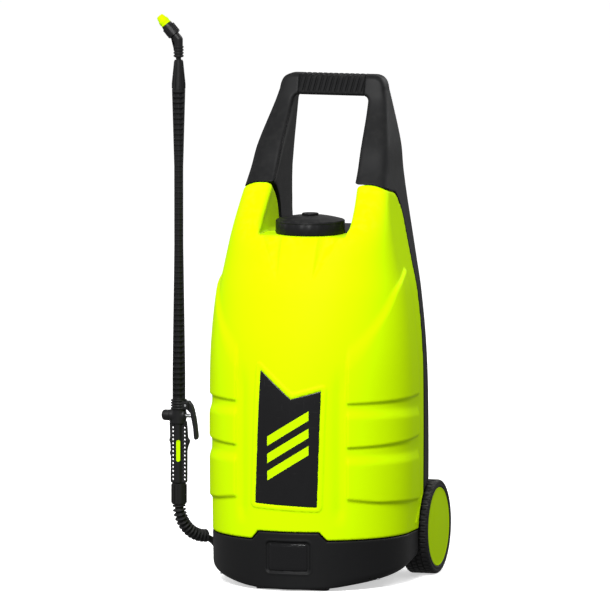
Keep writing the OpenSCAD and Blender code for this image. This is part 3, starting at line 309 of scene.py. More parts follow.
def smooth_path(points: Sequence[Triple], spacing: float) -> np.ndarray:
    """Runs a smooth line through points.

    Args:
        points: The points that it passes.
        spacing: Distance between the line's own points.

    Returns:
        The line's points, evenly spaced.
    """
    given = np.array(points, dtype=float)
    ends = np.vstack([2 * given[0] - given[1], given, 2 * given[-1] - given[-2]])
    t = np.linspace(0, 1, 25)[:-1, None]
    parts = []
    for a, b, c, d in zip(ends, ends[1:], ends[2:], ends[3:]):
        square, cube = 2 * a - 5 * b + 4 * c - d, 3 * b - a - 3 * c + d
        parts.append(0.5 * (2 * b + (c - a) * t + square * t**2 + cube * t**3))
    line = np.vstack(parts + [given[-1:]])
    walked = np.concatenate([[0], np.cumsum(np.linalg.norm(np.diff(line, axis=0), axis=1))])
    stops = np.linspace(0, walked[-1], max(2, int(round(walked[-1] / spacing)) + 1))
    return np.stack([np.interp(stops, walked, line[:, k]) for k in range(3)], axis=1)


# ---------------------------------------------------------------- rounded solids


def both(a: np.ndarray, b: np.ndarray, radius: float) -> np.ndarray:
    """Where both distances are inside, with a rounded edge of that radius."""
    corner = np.hypot(np.maximum(radius + a, 0), np.maximum(radius + b, 0))
    return np.minimum(-radius, np.maximum(a, b)) + corner


def both_varied(
    a: np.ndarray, b: np.ndarray, radii: tuple[float, float], share: np.ndarray
) -> np.ndarray:
    """Where both distances are inside, with an edge that goes from the first radius to the second."""
    return both(a, b, radii[0]) * (1 - share) + both(a, b, radii[1]) * share


def without(a: np.ndarray, b: np.ndarray, radius: float) -> np.ndarray:
    """Inside a and outside b, with a rounded edge of that radius."""
    return both(a, -b, radius)


def either(a: np.ndarray, b: np.ndarray, radius: float) -> np.ndarray:
    """Inside a or b, with a hollow of that radius where they meet."""
    return -both(-a, -b, radius)


def ease(t: np.ndarray) -> np.ndarray:
    """Smooth step from 0 to 1."""
    t = np.clip(t, 0, 1)
    return t * t * (3 - 2 * t)


def round_box(x: np.ndarray, y: np.ndarray, half_x: float, half_y: float, radius: float) -> np.ndarray:
    """Distance to a rectangle with round corners, centred on zero."""
    qx, qy = np.abs(x) - half_x + radius, np.abs(y) - half_y + radius
    return np.hypot(np.maximum(qx, 0), np.maximum(qy, 0)) + np.minimum(np.maximum(qx, qy), 0) - radius


def working_cell(cell: float) -> float:
    """Size of a mesh's faces, as given."""
    return cell * 1.0


CORNERS = [(i, j, k) for i in (0, 1) for j in (0, 1) for k in (0, 1)]


@dataclass(frozen=True)
class Skin:
    """Meshes the surface on which a distance is zero.

    Attributes:
        cell: Size of the mesh's faces, in millimetres.
    """

    cell: float

    def mesh(self, name: str, shape: Shape, low: Triple, high: Triple) -> bpy.types.Mesh:
        """Makes the surface's mesh.

        Args:
            name: Name of the mesh.
            shape: Distance at each point, negative inside.
            low: Lowest corner of the space that holds the surface.
            high: Highest corner of that space.

        Returns:
            The mesh, in the frame.
        """
        step = self.cell
        axes = [np.arange(a - 1.5 * step, b + 2.5 * step, step) for a, b in zip(low, high)]
        grids = np.meshgrid(*axes, indexing="ij", sparse=True)
        values = shape(*[g.astype(np.float32) for g in grids]).astype(np.float32)
        inside = values < 0
        nx, ny, nz = (n - 1 for n in inside.shape)
        count = sum(inside[i : nx + i, j : ny + j, k : nz + k].astype(np.uint8) for i, j, k in CORNERS)
        cells = np.argwhere((count > 0) & (count < len(CORNERS)))
        number = np.full(count.shape, -1, dtype=np.int32)
        number[tuple(cells.T)] = np.arange(len(cells))
        points = self._crossings(values, cells) * step + np.array([a[0] for a in axes])
        points = self._settle(shape, points)
        return quad_mesh(name, points, self._quads(inside, number))

    @staticmethod
    def _crossings(values: np.ndarray, cells: np.ndarray) -> np.ndarray:
        """Mean of the places where the surface crosses each cell's edges.

        Args:
            values: Distance at each grid point.
            cells: Lowest corner of each cell that the surface crosses.

        Returns:
            A point in each cell, in grid steps.
        """
        at = {c: values[cells[:, 0] + c[0], cells[:, 1] + c[1], cells[:, 2] + c[2]] for c in CORNERS}
        total = np.zeros(cells.shape)
        seen = np.zeros(len(cells))
        for c in CORNERS:
            for axis in range(3):
                if c[axis]:
                    continue
                other = tuple(1 if k == axis else c[k] for k in range(3))
                a, b = at[c], at[other]
                cross = (a < 0) != (b < 0)
                share = np.where(cross, a / np.where(cross, a - b, 1), 0)
                place = np.array(c, dtype=float)[None, :] + np.eye(3)[axis][None, :] * share[:, None]
                total += place * cross[:, None]
                seen += cross
        return cells + total / seen[:, None]

    def _settle(self, shape: Shape, points: np.ndarray) -> np.ndarray:
        """Moves points onto the surface itself.

        Args:
            shape: Distance at each point, negative inside.
            points: Points near the surface.

        Returns:
            The points after a few short moves.
        """
        reach, furthest = self.cell * 0.2, self.cell * 0.45
        for _ in range(3):
            here = shape(*points.T)
            slopes = [
                (shape(*(points + reach * e).T) - shape(*(points - reach * e).T)) / (2 * reach)
                for e in np.eye(3)
            ]
            slope = np.stack(slopes, axis=1)
            steep = np.maximum((slope**2).sum(axis=1), 0.05)
            move = slope * (here / steep)[:, None]
            far_off = np.maximum(np.linalg.norm(move, axis=1) / furthest, 1)
            points = points - move / far_off[:, None]
        return points

    @staticmethod
    def _quads(inside: np.ndarray, number: np.ndarray) -> np.ndarray:
        """Faces round every grid edge that the surface crosses.

        Args:
            inside: Whether each grid point is inside.
            number: Number of each cell's point.

        Returns:
            Four cell numbers for each face, in the order that faces outward.
        """
        made = []
        for axis in range(3):
            u, v = (axis + 1) % 3, (axis + 2) % 3
            first = np.take(inside, range(inside.shape[axis] - 1), axis)
            second = np.take(inside, range(1, inside.shape[axis]), axis)
            edges = np.argwhere(first != second)
            keep = (edges[:, u] > 0) & (edges[:, v] > 0)
            keep &= (edges[:, u] < inside.shape[u] - 1) & (edges[:, v] < inside.shape[v] - 1)
            edges = edges[keep]
            outward = first[tuple(edges.T)]
            ring = []
            for du, dv in ((1, 1), (0, 1), (0, 0), (1, 0)):
                cell = edges.copy()
                cell[:, u] -= du
                cell[:, v] -= dv
                ring.append(number[tuple(cell.T)])
            quads = np.stack(ring, axis=1)
            made.append(np.where(outward[:, None], quads, quads[:, ::-1]))
        return np.vstack(made)


# ---------------------------------------------------------------- finishes


@dataclass(frozen=True)
class Wire:
    """A socket in a node tree that can be used in sums.

    Attributes:
        tree: The node tree.
        socket: The output socket.
    """

    tree: bpy.types.NodeTree
    socket: bpy.types.NodeSocket

    def _math(self, operation: str, *values: "Wire | float") -> "Wire":
        """Adds a Math node."""
        return node(self.tree, "ShaderNodeMath", {"operation": operation}, dict(enumerate(values)))

    def __add__(self, other: "Wire | float") -> "Wire":
        """This and other together."""
        return self._math("ADD", self, other)

    def __sub__(self, other: "Wire | float") -> "Wire":
        """This less other."""
        return self._math("SUBTRACT", self, other)

    def __mul__(self, other: "Wire | float") -> "Wire":
        """This times other."""
        return self._math("MULTIPLY", self, other)

    def __radd__(self, other: float) -> "Wire":
        """A number and this together."""
        return self._math("ADD", other, self)

    def __rsub__(self, other: float) -> "Wire":
        """A number less this."""
        return self._math("SUBTRACT", other, self)

    def __rmul__(self, other: float) -> "Wire":
        """A number times this."""
        return self._math("MULTIPLY", other, self)

    def above(self, low: float, high: float) -> "Wire":
        """Smooth step from 0 at low to 1 at high.

        Args:
            low: Value where it starts to rise.
            high: Value where it is 1.

        Returns:
            The step.
        """
        settings = {"interpolation_type": "SMOOTHSTEP", "clamp": True}
        values = {"Value": self, "From Min": low, "From Max": high}
        return node(self.tree, "ShaderNodeMapRange", settings, values)

    def part(self, axis: str) -> "Wire":
        """One axis of a vector."""
        return node(self.tree, "ShaderNodeSeparateXYZ", {}, {"Vector": self}, axis)

    def scaled(self, amounts: Triple) -> "Wire":
        """A vector with each axis multiplied."""
        return node(self.tree, "ShaderNodeVectorMath", {"operation": "MULTIPLY"}, {0: self, 1: amounts})

    def blend(self, first: "Wire | Sequence[float]", second: "Wire | Sequence[float]") -> "Wire":
        """First colour where this is 0 and second where it is 1."""
        values = {"Factor": self, "A": first, "B": second}
        return node(self.tree, "ShaderNodeMix", {"data_type": "RGBA"}, values, "Result")


def node(
    tree: bpy.types.NodeTree,
    kind: str,
    settings: dict[str, object],
    values: dict[str | int, object],
    output: str | int = 0,
) -> Wire:
    """Adds a node of any kind.

    Args:
        tree: The node tree.
        kind: Type of the node.
        settings: Its properties.
        values: Its inputs, as wires or constants, by name or place.
        output: The output to return.

    Returns:
        One of its outputs.
    """
    made = tree.nodes.new(kind)
    for name, setting in settings.items():
        setattr(made, name, setting)
    for key, value in values.items():
        target = made.inputs[key] if isinstance(key, int) else next(
            s for s in made.inputs if s.name == key and s.enabled
        )
        if isinstance(value, Wire):
            tree.links.new(value.socket, target)
        elif hasattr(target.default_value, "__len__"):
            target.default_value = tuple(value) + (1.0,) * (len(target.default_value) - len(value))
        else:
            target.default_value = value
    if not made.outputs:
        return Wire(tree, None)
    found = made.outputs[output] if isinstance(output, int) else next(
        s for s in made.outputs if s.name == output and s.enabled
    )
    return Wire(tree, found)


def noise(place: Wire, scale: float, detail: float = 3.0, roughness: float = 0.5) -> Wire:
    """Cloudy noise round 0.5, scale times a millimetre."""
    values = {"Vector": place, "Scale": scale, "Detail": detail, "Roughness": roughness}
    return node(place.tree, "ShaderNodeTexNoise", {}, values)


DUST = (0.55, 0.54, 0.5)  # colour of dry dust


class Grain(Enum):
    """Fine surface of a finish."""

    SPARK = "spark"
    GLOSS = "gloss"
    MATT = "matt"
    BRUSHED = "brushed"
    WOVEN = "woven"
    RIBBED = "ribbed"


@dataclass(frozen=True)
class Finish:
    """A procedural material.

    Attributes:
        colour: Linear base colour.
        roughness: Mean roughness.
        grain: Its fine surface.
        metal: Whether it is metal.
        depth: Height of the grain, in millimetres.
        size: Size of the grain, in millimetres.
        mottle: How much the colour changes over the surface.
        dust: How much pale dust lies on surfaces that face up.
        scuffs: How strong the fine scratches are.
        coat: Weight of the clear coat.
        sheen: Strength of its mirror-like reflection, 0.5 being usual.
        glow: Share of the colour that light spreads under the surface.
        edge: Colour that the fine scratches tend to.
    """

    colour: Triple
    roughness: float
    grain: Grain = Grain.SPARK
    metal: bool = False
    depth: float = 0.02
    size: float = 0.6
    mottle: float = 0.05
    dust: float = 0.05
    scuffs: float = 0.3
    coat: float = 0.0
    sheen: float = 0.5
    glow: float = 0.0
    edge: Triple = (0.3, 0.3, 0.3)

    def make(self, name: str) -> bpy.types.Material:
        """Builds the material.

        Args:
            name: Name of the material.

        Returns:
            The material.
        """
        material = bpy.data.materials.new(name)
        material.use_nodes = True
        tree = material.node_tree
        tree.nodes.clear()
        place = node(tree, "ShaderNodeTexCoord", {}, {}, "Object").scaled((1 / MM,) * 3)
        up = node(tree, "ShaderNodeNewGeometry", {}, {}, "Normal").part("Z")
        clouds = noise(place, 0.012, 4.0, 0.55)  # some 80 mm across
        spots = noise(place, 0.09, 3.0, 0.6)  # some 10 mm across
        scratch = self._scratches(place)
        dust = up.above(0.25, 0.95) * spots.above(0.42, 0.7) * self.dust
        tone = (clouds - 0.5) * (2 * self.mottle) + (spots - 0.5) * self.mottle + 1.0
        colour = node(
            tree, "ShaderNodeVectorMath", {"operation": "SCALE"}, {"Vector": self.colour, "Scale": tone}
        )
        worn = scratch * (0.10 * self.scuffs)
        colour = dust.blend(worn.blend(colour, self.edge), DUST)
        rough = (spots - 0.5) * 0.10 + (clouds - 0.5) * 0.12 + worn + dust * 0.4 + self.roughness
        height = self._height(place) - scratch * (0.25 * self.scuffs)
        relief = {"Height": height, "Distance": self.depth * MM, "Strength": 1.0}
        values: dict[str | int, object] = {
            "Base Color": colour,
            "Roughness": rough,
            "Normal": node(tree, "ShaderNodeBump", {}, relief, "Normal"),
            "Metallic": 1.0 if self.metal else 0.0,
            "Coat Weight": self.coat,
            "Coat Roughness": 0.12,
            "IOR": 1.47,
            "Specular IOR Level": self.sheen,
        }
        if self.glow:
            spread = {"Subsurface Radius": (1.0, 1.0, 0.2), "Subsurface Scale": 0.002}
            values |= {"Subsurface Weight": self.glow, **spread}
        surface = node(tree, "ShaderNodeBsdfPrincipled", {}, values)
        node(tree, "ShaderNodeOutputMaterial", {}, {"Surface": surface})
        return material

    @staticmethod
    def _scratches(place: Wire) -> Wire:
        """Thin, sparse scratches in two directions.

        Args:
            place: The place on the surface, in millimetres.

        Returns:
            1 on a scratch and 0 off it.
        """
        strokes = []
        for stretch, seed in (((0.9, 0.04, 0.03), 11.0), ((0.03, 0.05, 0.8), 47.0)):
            values = {"Vector": place.scaled(stretch), "W": seed, "Scale": 1.0, "Detail": 2.0}
            strand = node(place.tree, "ShaderNodeTexNoise", {"noise_dimensions": "4D"}, values)
            strokes.append(strand.above(0.66, 0.72))
        return (strokes[0] + strokes[1]) * noise(place, 0.02, 2.0).above(0.5, 0.62)

    def _height(self, place: Wire) -> Wire:
        """Height of the fine surface, from 0 to 1.

        Args:
            place: The place on the surface, in millimetres.

        Returns:
            The height.
        """
        scale = 1.0 / self.size
        fine = noise(place, scale, 2.0, 0.5)
        match self.grain:
            case Grain.SPARK:
                values = {"Vector": place, "Scale": scale * 1.3}
                cells = node(place.tree, "ShaderNodeTexVoronoi", {}, values, "Distance")
                return fine * 0.6 + cells.above(0.05, 0.7) * 0.4
            case Grain.GLOSS:
                return noise(place, 0.03, 2.0) * 0.7 + fine * 0.15
            case Grain.MATT:
                return fine
            case Grain.BRUSHED:
                return noise(place.scaled((0.08, 2.0, 2.0)), scale, 3.0, 0.6)
            case Grain.WOVEN:
                threads = self._bands(place, "X", scale * 0.3) * self._bands(place, "Z", scale * 0.3)
                return threads * 0.8 + fine * 0.2
            case Grain.RIBBED:
                return self._bands(place, "Z", scale * 0.25) * 0.3 + fine * 0.7

    @staticmethod
    def _bands(place: Wire, axis: str, scale: float) -> Wire:
        """Soft bands across one axis."""
        values = {"Vector": place, "Scale": scale}
        return node(place.tree, "ShaderNodeTexWave", {"bands_direction": axis}, values)


def grey(level: float) -> Triple:
    """A neutral colour."""
    return (level, level, level)


LIME = (0.45, 0.70, 0.0005)
JET = (0.008, 0.008, 0.0085)  # the gun's, lance's and hoses' black
FINISHES: dict[str, Finish] = {
    "lime_shell": Finish(
        LIME, 0.48, depth=0.012, size=0.9, mottle=0.02, dust=0.01, scuffs=0.15, edge=LIME, sheen=0.008,
    ),
    "lime_trim": Finish(
        (0.40, 0.62, 0.0008), 0.42, Grain.MATT, depth=0.010, size=0.5, mottle=0.03, dust=0.01,
        scuffs=0.3, edge=LIME, sheen=0.006,
    ),
    "charcoal_shell": Finish(
        (0.0052, 0.0053, 0.0056), 0.54, depth=0.030, size=0.8, dust=0.01, scuffs=0.4, edge=grey(0.04),
        sheen=0.135,
    ),
    "black_plastic": Finish(
        (0.008, 0.008, 0.009), 0.42, depth=0.018, size=0.5, dust=0.03, scuffs=0.5, edge=grey(0.09),
        sheen=0.17,
    ),
    "plate_black": Finish(
        (0.005, 0.005, 0.0055), 0.30, Grain.MATT, depth=0.006, size=0.4, scuffs=0.4, coat=0.15,
        sheen=0.17,
    ),
    "badge_black": Finish(
        (0.004, 0.004, 0.0045), 0.18, Grain.GLOSS, depth=0.004, size=0.4, scuffs=0.3, coat=0.25,
        sheen=0.2,
    ),
    "cap_plastic": Finish(
        (0.0062, 0.0062, 0.0066), 0.42, depth=0.020, size=0.6, dust=0.02, scuffs=0.3, edge=grey(0.05),
        sheen=0.10,
    ),
    "grip_rubber": Finish(
        (0.0062, 0.0062, 0.0065), 0.62, Grain.MATT, depth=0.030, size=0.5, dust=0.02, scuffs=0.2,
        edge=grey(0.05), sheen=0.07,
    ),
    "foot_rubber": Finish(grey(0.011), 0.78, Grain.MATT, depth=0.040, size=0.6, dust=0.1, sheen=0.17),
    "seal_rubber": Finish(grey(0.007), 0.55, Grain.MATT, depth=0.010, size=0.4, dust=0.02, sheen=0.17),
    "tyre_rubber": Finish(
        (0.009, 0.009, 0.0095), 0.66, Grain.MATT, depth=0.050, size=0.7, mottle=0.15, dust=0.12,
        edge=grey(0.08), sheen=0.17,
    ),
    "zinc_steel": Finish(
        (0.56, 0.57, 0.58), 0.34, Grain.BRUSHED, metal=True, depth=0.006, size=0.6, dust=0.02,
        edge=(0.4, 0.4, 0.38),
    ),
    "strainer_plastic": Finish((0.045, 0.045, 0.047), 0.45, depth=0.015, size=0.5, dust=0.02),
    "battery_wrap": Finish(
        (0.016, 0.055, 0.150), 0.30, Grain.GLOSS, depth=0.020, size=0.8, coat=0.3,
        edge=(0.1, 0.15, 0.25),
    ),
    "strap_web": Finish(grey(0.020), 0.85, Grain.WOVEN, depth=0.150, size=0.5, dust=0.02),
    "motor_can": Finish(
        (0.42, 0.43, 0.44), 0.38, Grain.BRUSHED, metal=True, depth=0.008, size=0.6, dust=0.02,
        edge=(0.3, 0.3, 0.28),
    ),
    "switch_red": Finish(
        (0.48, 0.016, 0.012), 0.30, Grain.GLOSS, depth=0.004, size=0.4, dust=0.02, edge=(0.6, 0.2, 0.15),
    ),
    "board_green": Finish(
        (0.010, 0.110, 0.035), 0.32, Grain.GLOSS, depth=0.010, size=0.8, dust=0.02, coat=0.3,
    ),
    "clear_tube": Finish(
        (0.62, 0.64, 0.60), 0.20, Grain.GLOSS, depth=0.006, size=0.8, dust=0.01, coat=0.4, glow=0.4,
    ),
    "hose_rubber": Finish(JET, 0.50, Grain.RIBBED, depth=0.030, size=0.5, dust=0.06, sheen=0.17),
    "sleeve_rubber": Finish(JET, 0.52, Grain.MATT, depth=0.020, size=0.4, dust=0.04, sheen=0.17),
    "gun_plastic": Finish(
        JET, 0.40, depth=0.016, size=0.4, dust=0.02, scuffs=0.5, edge=grey(0.1), sheen=0.17,
    ),
    "lance_plastic": Finish(
        JET, 0.38, depth=0.014, size=0.4, dust=0.02, scuffs=0.5, edge=grey(0.1), sheen=0.17,
    ),
}


# ---------------------------------------------------------------- the body's shape


@dataclass(frozen=True)
class Hull:
    """The outer form that the tank, the base and the back frame are cut from.

    Attributes:
        levels: Height, half width, front reach, widest line, roundness and back corner radius.
        opening: Height, half width, front edge and rounding of the filler notch and hand opening.
        back: The flat back lies at this y.
        margin: How far the table of levels goes on below and above them.
    """

    levels: tuple[tuple[float, ...], ...] = (
        (0, 150, 124, 15, 2, 45), (150, 152, 126, 15, 2, 42), (285, 152, 126, 15, 2, 46),
        (360, 149.5, 117, 15, 2.1, 50), (435, 142, 98, 15, 2.2, 50), (480, 133, 80, 15, 2.3, 42),
        (525, 124, 55, 20, 2.6, 35), (573, 115, 4, 34, 3.2, 30), (613, 108, -32, 62, 4.4, 24),
        (650, 103, -57, 87, 5.5, 18), (714, 88, -106, 131, 6, 12), (752, 82, -120, 136, 6, 10),
    )
    opening: tuple[tuple[float, ...], ...] = (
        (521, 67, -57, 2), (528, 70, -52, 3), (546, 71, -33, 4.5), (573, 71, -4, 6.5), (600, 70, 22, 8),
        (613, 69.5, 32, 8), (654, 66, 60, 5.5), (714, 60, 106, 2), (760, 60, 120, 2),
    )
    back: float = 152.0
    margin: float = 12.0

    def table(self) -> np.ndarray:
        """Every millimetre's height and measures, on a smooth curve through the levels.

        Returns:
            Rows of height, half width, front reach, widest line, roundness and corner radius.
        """
        rows = np.array(self.levels, dtype=float)
        z = rows[:, 0]
        last = len(rows) - 1
        slopes = []
        for i in range(len(rows)):
            above, below = min(i + 1, last), max(i - 1, 0)
            slopes.append((rows[above] - rows[below]) / (z[above] - z[below]))
        made = []
        for height in np.arange(z[0] - self.margin, z[-1] + self.margin + 0.5, 1.0):
            level = min(max(height, 0.0), z[-1])
            i = min(int(np.searchsorted(z, level, side="right")) - 1, last - 1)
            gap = z[i + 1] - z[i]
            t = (level - z[i]) / gap
            start = (2 * t**3 - 3 * t**2 + 1) * rows[i] + (t**3 - 2 * t**2 + t) * gap * slopes[i]
            row = start + (3 * t**2 - 2 * t**3) * rows[i + 1] + (t**3 - t**2) * gap * slopes[i + 1]
            made.append([height, *row[1:]])
        return np.array(made)

    def distance(self, x: np.ndarray, y: np.ndarray, z: np.ndarray) -> np.ndarray:
        """Distance to the outer form, negative inside.

        Args:
            x: Across, to the right of the cap's axis.
            y: Back from the cap's axis.
            z: Height.

        Returns:
            The distance, true near the surface.
        """
        level = self._level(x, y, z)
        rise = (self._level(x, y, z + 1.0) - self._level(x, y, z - 1.0)) / 2
        steepest = 3
        return level / np.sqrt(1 + np.minimum(rise**2, steepest**2))

    def _level(self, x: np.ndarray, y: np.ndarray, z: np.ndarray) -> np.ndarray:
        """Distance within the level plane.

        Args:
            x: Across, to the right of the cap's axis.
            y: Back from the cap's axis.
            z: Height.

        Returns:
            The distance, measured level.
        """
        rows = HULL_TABLE
        w, f, m, n, r = (np.interp(z, rows[:, 0], rows[:, k]).astype(np.float32) for k in range(1, 6))
        u, v, reach = np.abs(x), np.maximum(m - y, 0.0), m + f
        tiny = 1e-4
        a, b = np.maximum(u / w, tiny), np.maximum(v / reach, tiny)
        an, bn = a**n, b**n
        g = np.maximum(an + bn, tiny / 100)
        size = g ** (1 / n)
        slope = g ** (1 / n - 1) * np.hypot(an / a / w, bn / b / reach)
        ahead = (size - 1) / np.maximum(slope, tiny)
        qx, qy = u - w + r, y - self.back + r
        behind = np.hypot(np.maximum(qx, 0), np.maximum(qy, 0)) + np.minimum(np.maximum(qx, qy), 0) - r
        return np.where(y < m, ahead, behind)

    @staticmethod
    def seam(x: np.ndarray, y: np.ndarray, z: np.ndarray, gap: float) -> np.ndarray:
        """Distance ahead of the line between tank and back frame, negative on the tank's side.

        Args:
            x: Across, to the right of the cap's axis.
            y: Back from the cap's axis.
            z: Height.
            gap: How far to stay clear of the line.

        Returns:
            The distance.
        """
        start_z, shoulder_z, high, deep = 565.0, 597.0, 32.0, 34.0
        beside = np.abs(x) - 82.0 + 0.17 * np.maximum(y - 34.0, 0)
        out = np.maximum(beside, 0) / 42.0
        shoulder = deep * (np.hypot(out, np.maximum(z - start_z, 0) / high) - 1)
        behind = both(y - SEAM_Y + gap, z - shoulder_z + gap, 60.0)
        return np.maximum(behind, np.minimum(shoulder, z - start_z) + gap)

    @staticmethod
    def base(x: np.ndarray, y: np.ndarray, z: np.ndarray, gap: float) -> np.ndarray:
        """Distance above the base's parting line, negative on the base's side.

        Args:
            x: Across, to the right of the cap's axis.
            y: Back from the cap's axis.
            z: Height.
            gap: How far to stay clear of the line.

        Returns:
            The distance.
        """
        side_z, back_z, tab_rise, tab_half, tab_slant = 76.0, 102.0, 12.5, 58.0, 11.0
        tab = np.clip((tab_half + 1.5 * gap - np.abs(x)) / tab_slant, 0, 1) * tab_rise
        top = np.where(y < 0, side_z + tab, side_z)
        top = np.where(y > SEAM_Y - gap, back_z, top)
        return z - top - gap

    def window(self, x: np.ndarray, y: np.ndarray, z: np.ndarray, low: np.ndarray | float) -> np.ndarray:
        """Distance to the filler notch and hand opening, negative in the opening.

        Args:
            x: Across, to the right of the cap's axis.
            y: Back from the cap's axis.
            z: Height.
            low: Height of the opening's floor.

        Returns:
            The distance.
        """
        bar_z = 721.0
        half, front, lip = (np.interp(z, *np.array(self.opening)[:, (0, k)].T) for k in (1, 2, 3))
        lip = lip * (1 - ease((y - front) / 42.0))
        side = np.abs(x) - (half - lip).astype(np.float32)
        return both(both(side, z - bar_z, 8.0), low - z, 1.0)

    @staticmethod
    def wells(x: np.ndarray, y: np.ndarray, z: np.ndarray, grow: float = 0.0) -> np.ndarray:
        """Distance to the wheel wells, negative in them.

        Args:
            x: Across, to the right of the cap's axis.
            y: Back from the cap's axis.
            z: Height.
            grow: How much larger to take them.

        Returns:
            The distance.
        """
        radius, wall_x = 77.0, 114.0
        y, z = y - AXLE_Y, z - AXLE_Z
        arch = np.where(z > 0, np.hypot(y, z), np.abs(y)) - radius - grow
        return np.maximum(arch, wall_x - grow - np.abs(x))


HULL = Hull()
HULL_TABLE = HULL.table()


@dataclass(frozen=True)
class Pad:
    """A raised field on the tank's sides.

    Attributes:
        sides: Outline as y, z.
        soft: Width of the step outside each side.
    """

    sides: tuple[tuple[float, float], ...]
    soft: tuple[float, ...]

    def share(self, y: np.ndarray, z: np.ndarray) -> np.ndarray:
        """1 on the pad, 0 off it and between on its steps.

        Args:
            y: Back from the cap's axis.
            z: Height.

        Returns:
            The share of the pad's full height.
        """
        total: np.ndarray | float = 1.0
        for a, b, width in zip(self.sides, self.sides[1:] + self.sides[:1], self.soft):
            length = math.hypot(b[0] - a[0], b[1] - a[1])
            inward = ((b[0] - a[0]) * (z - a[1]) - (b[1] - a[1]) * (y - a[0])) / length
            total = total * ease(inward / width + 1)
        return np.asarray(total)


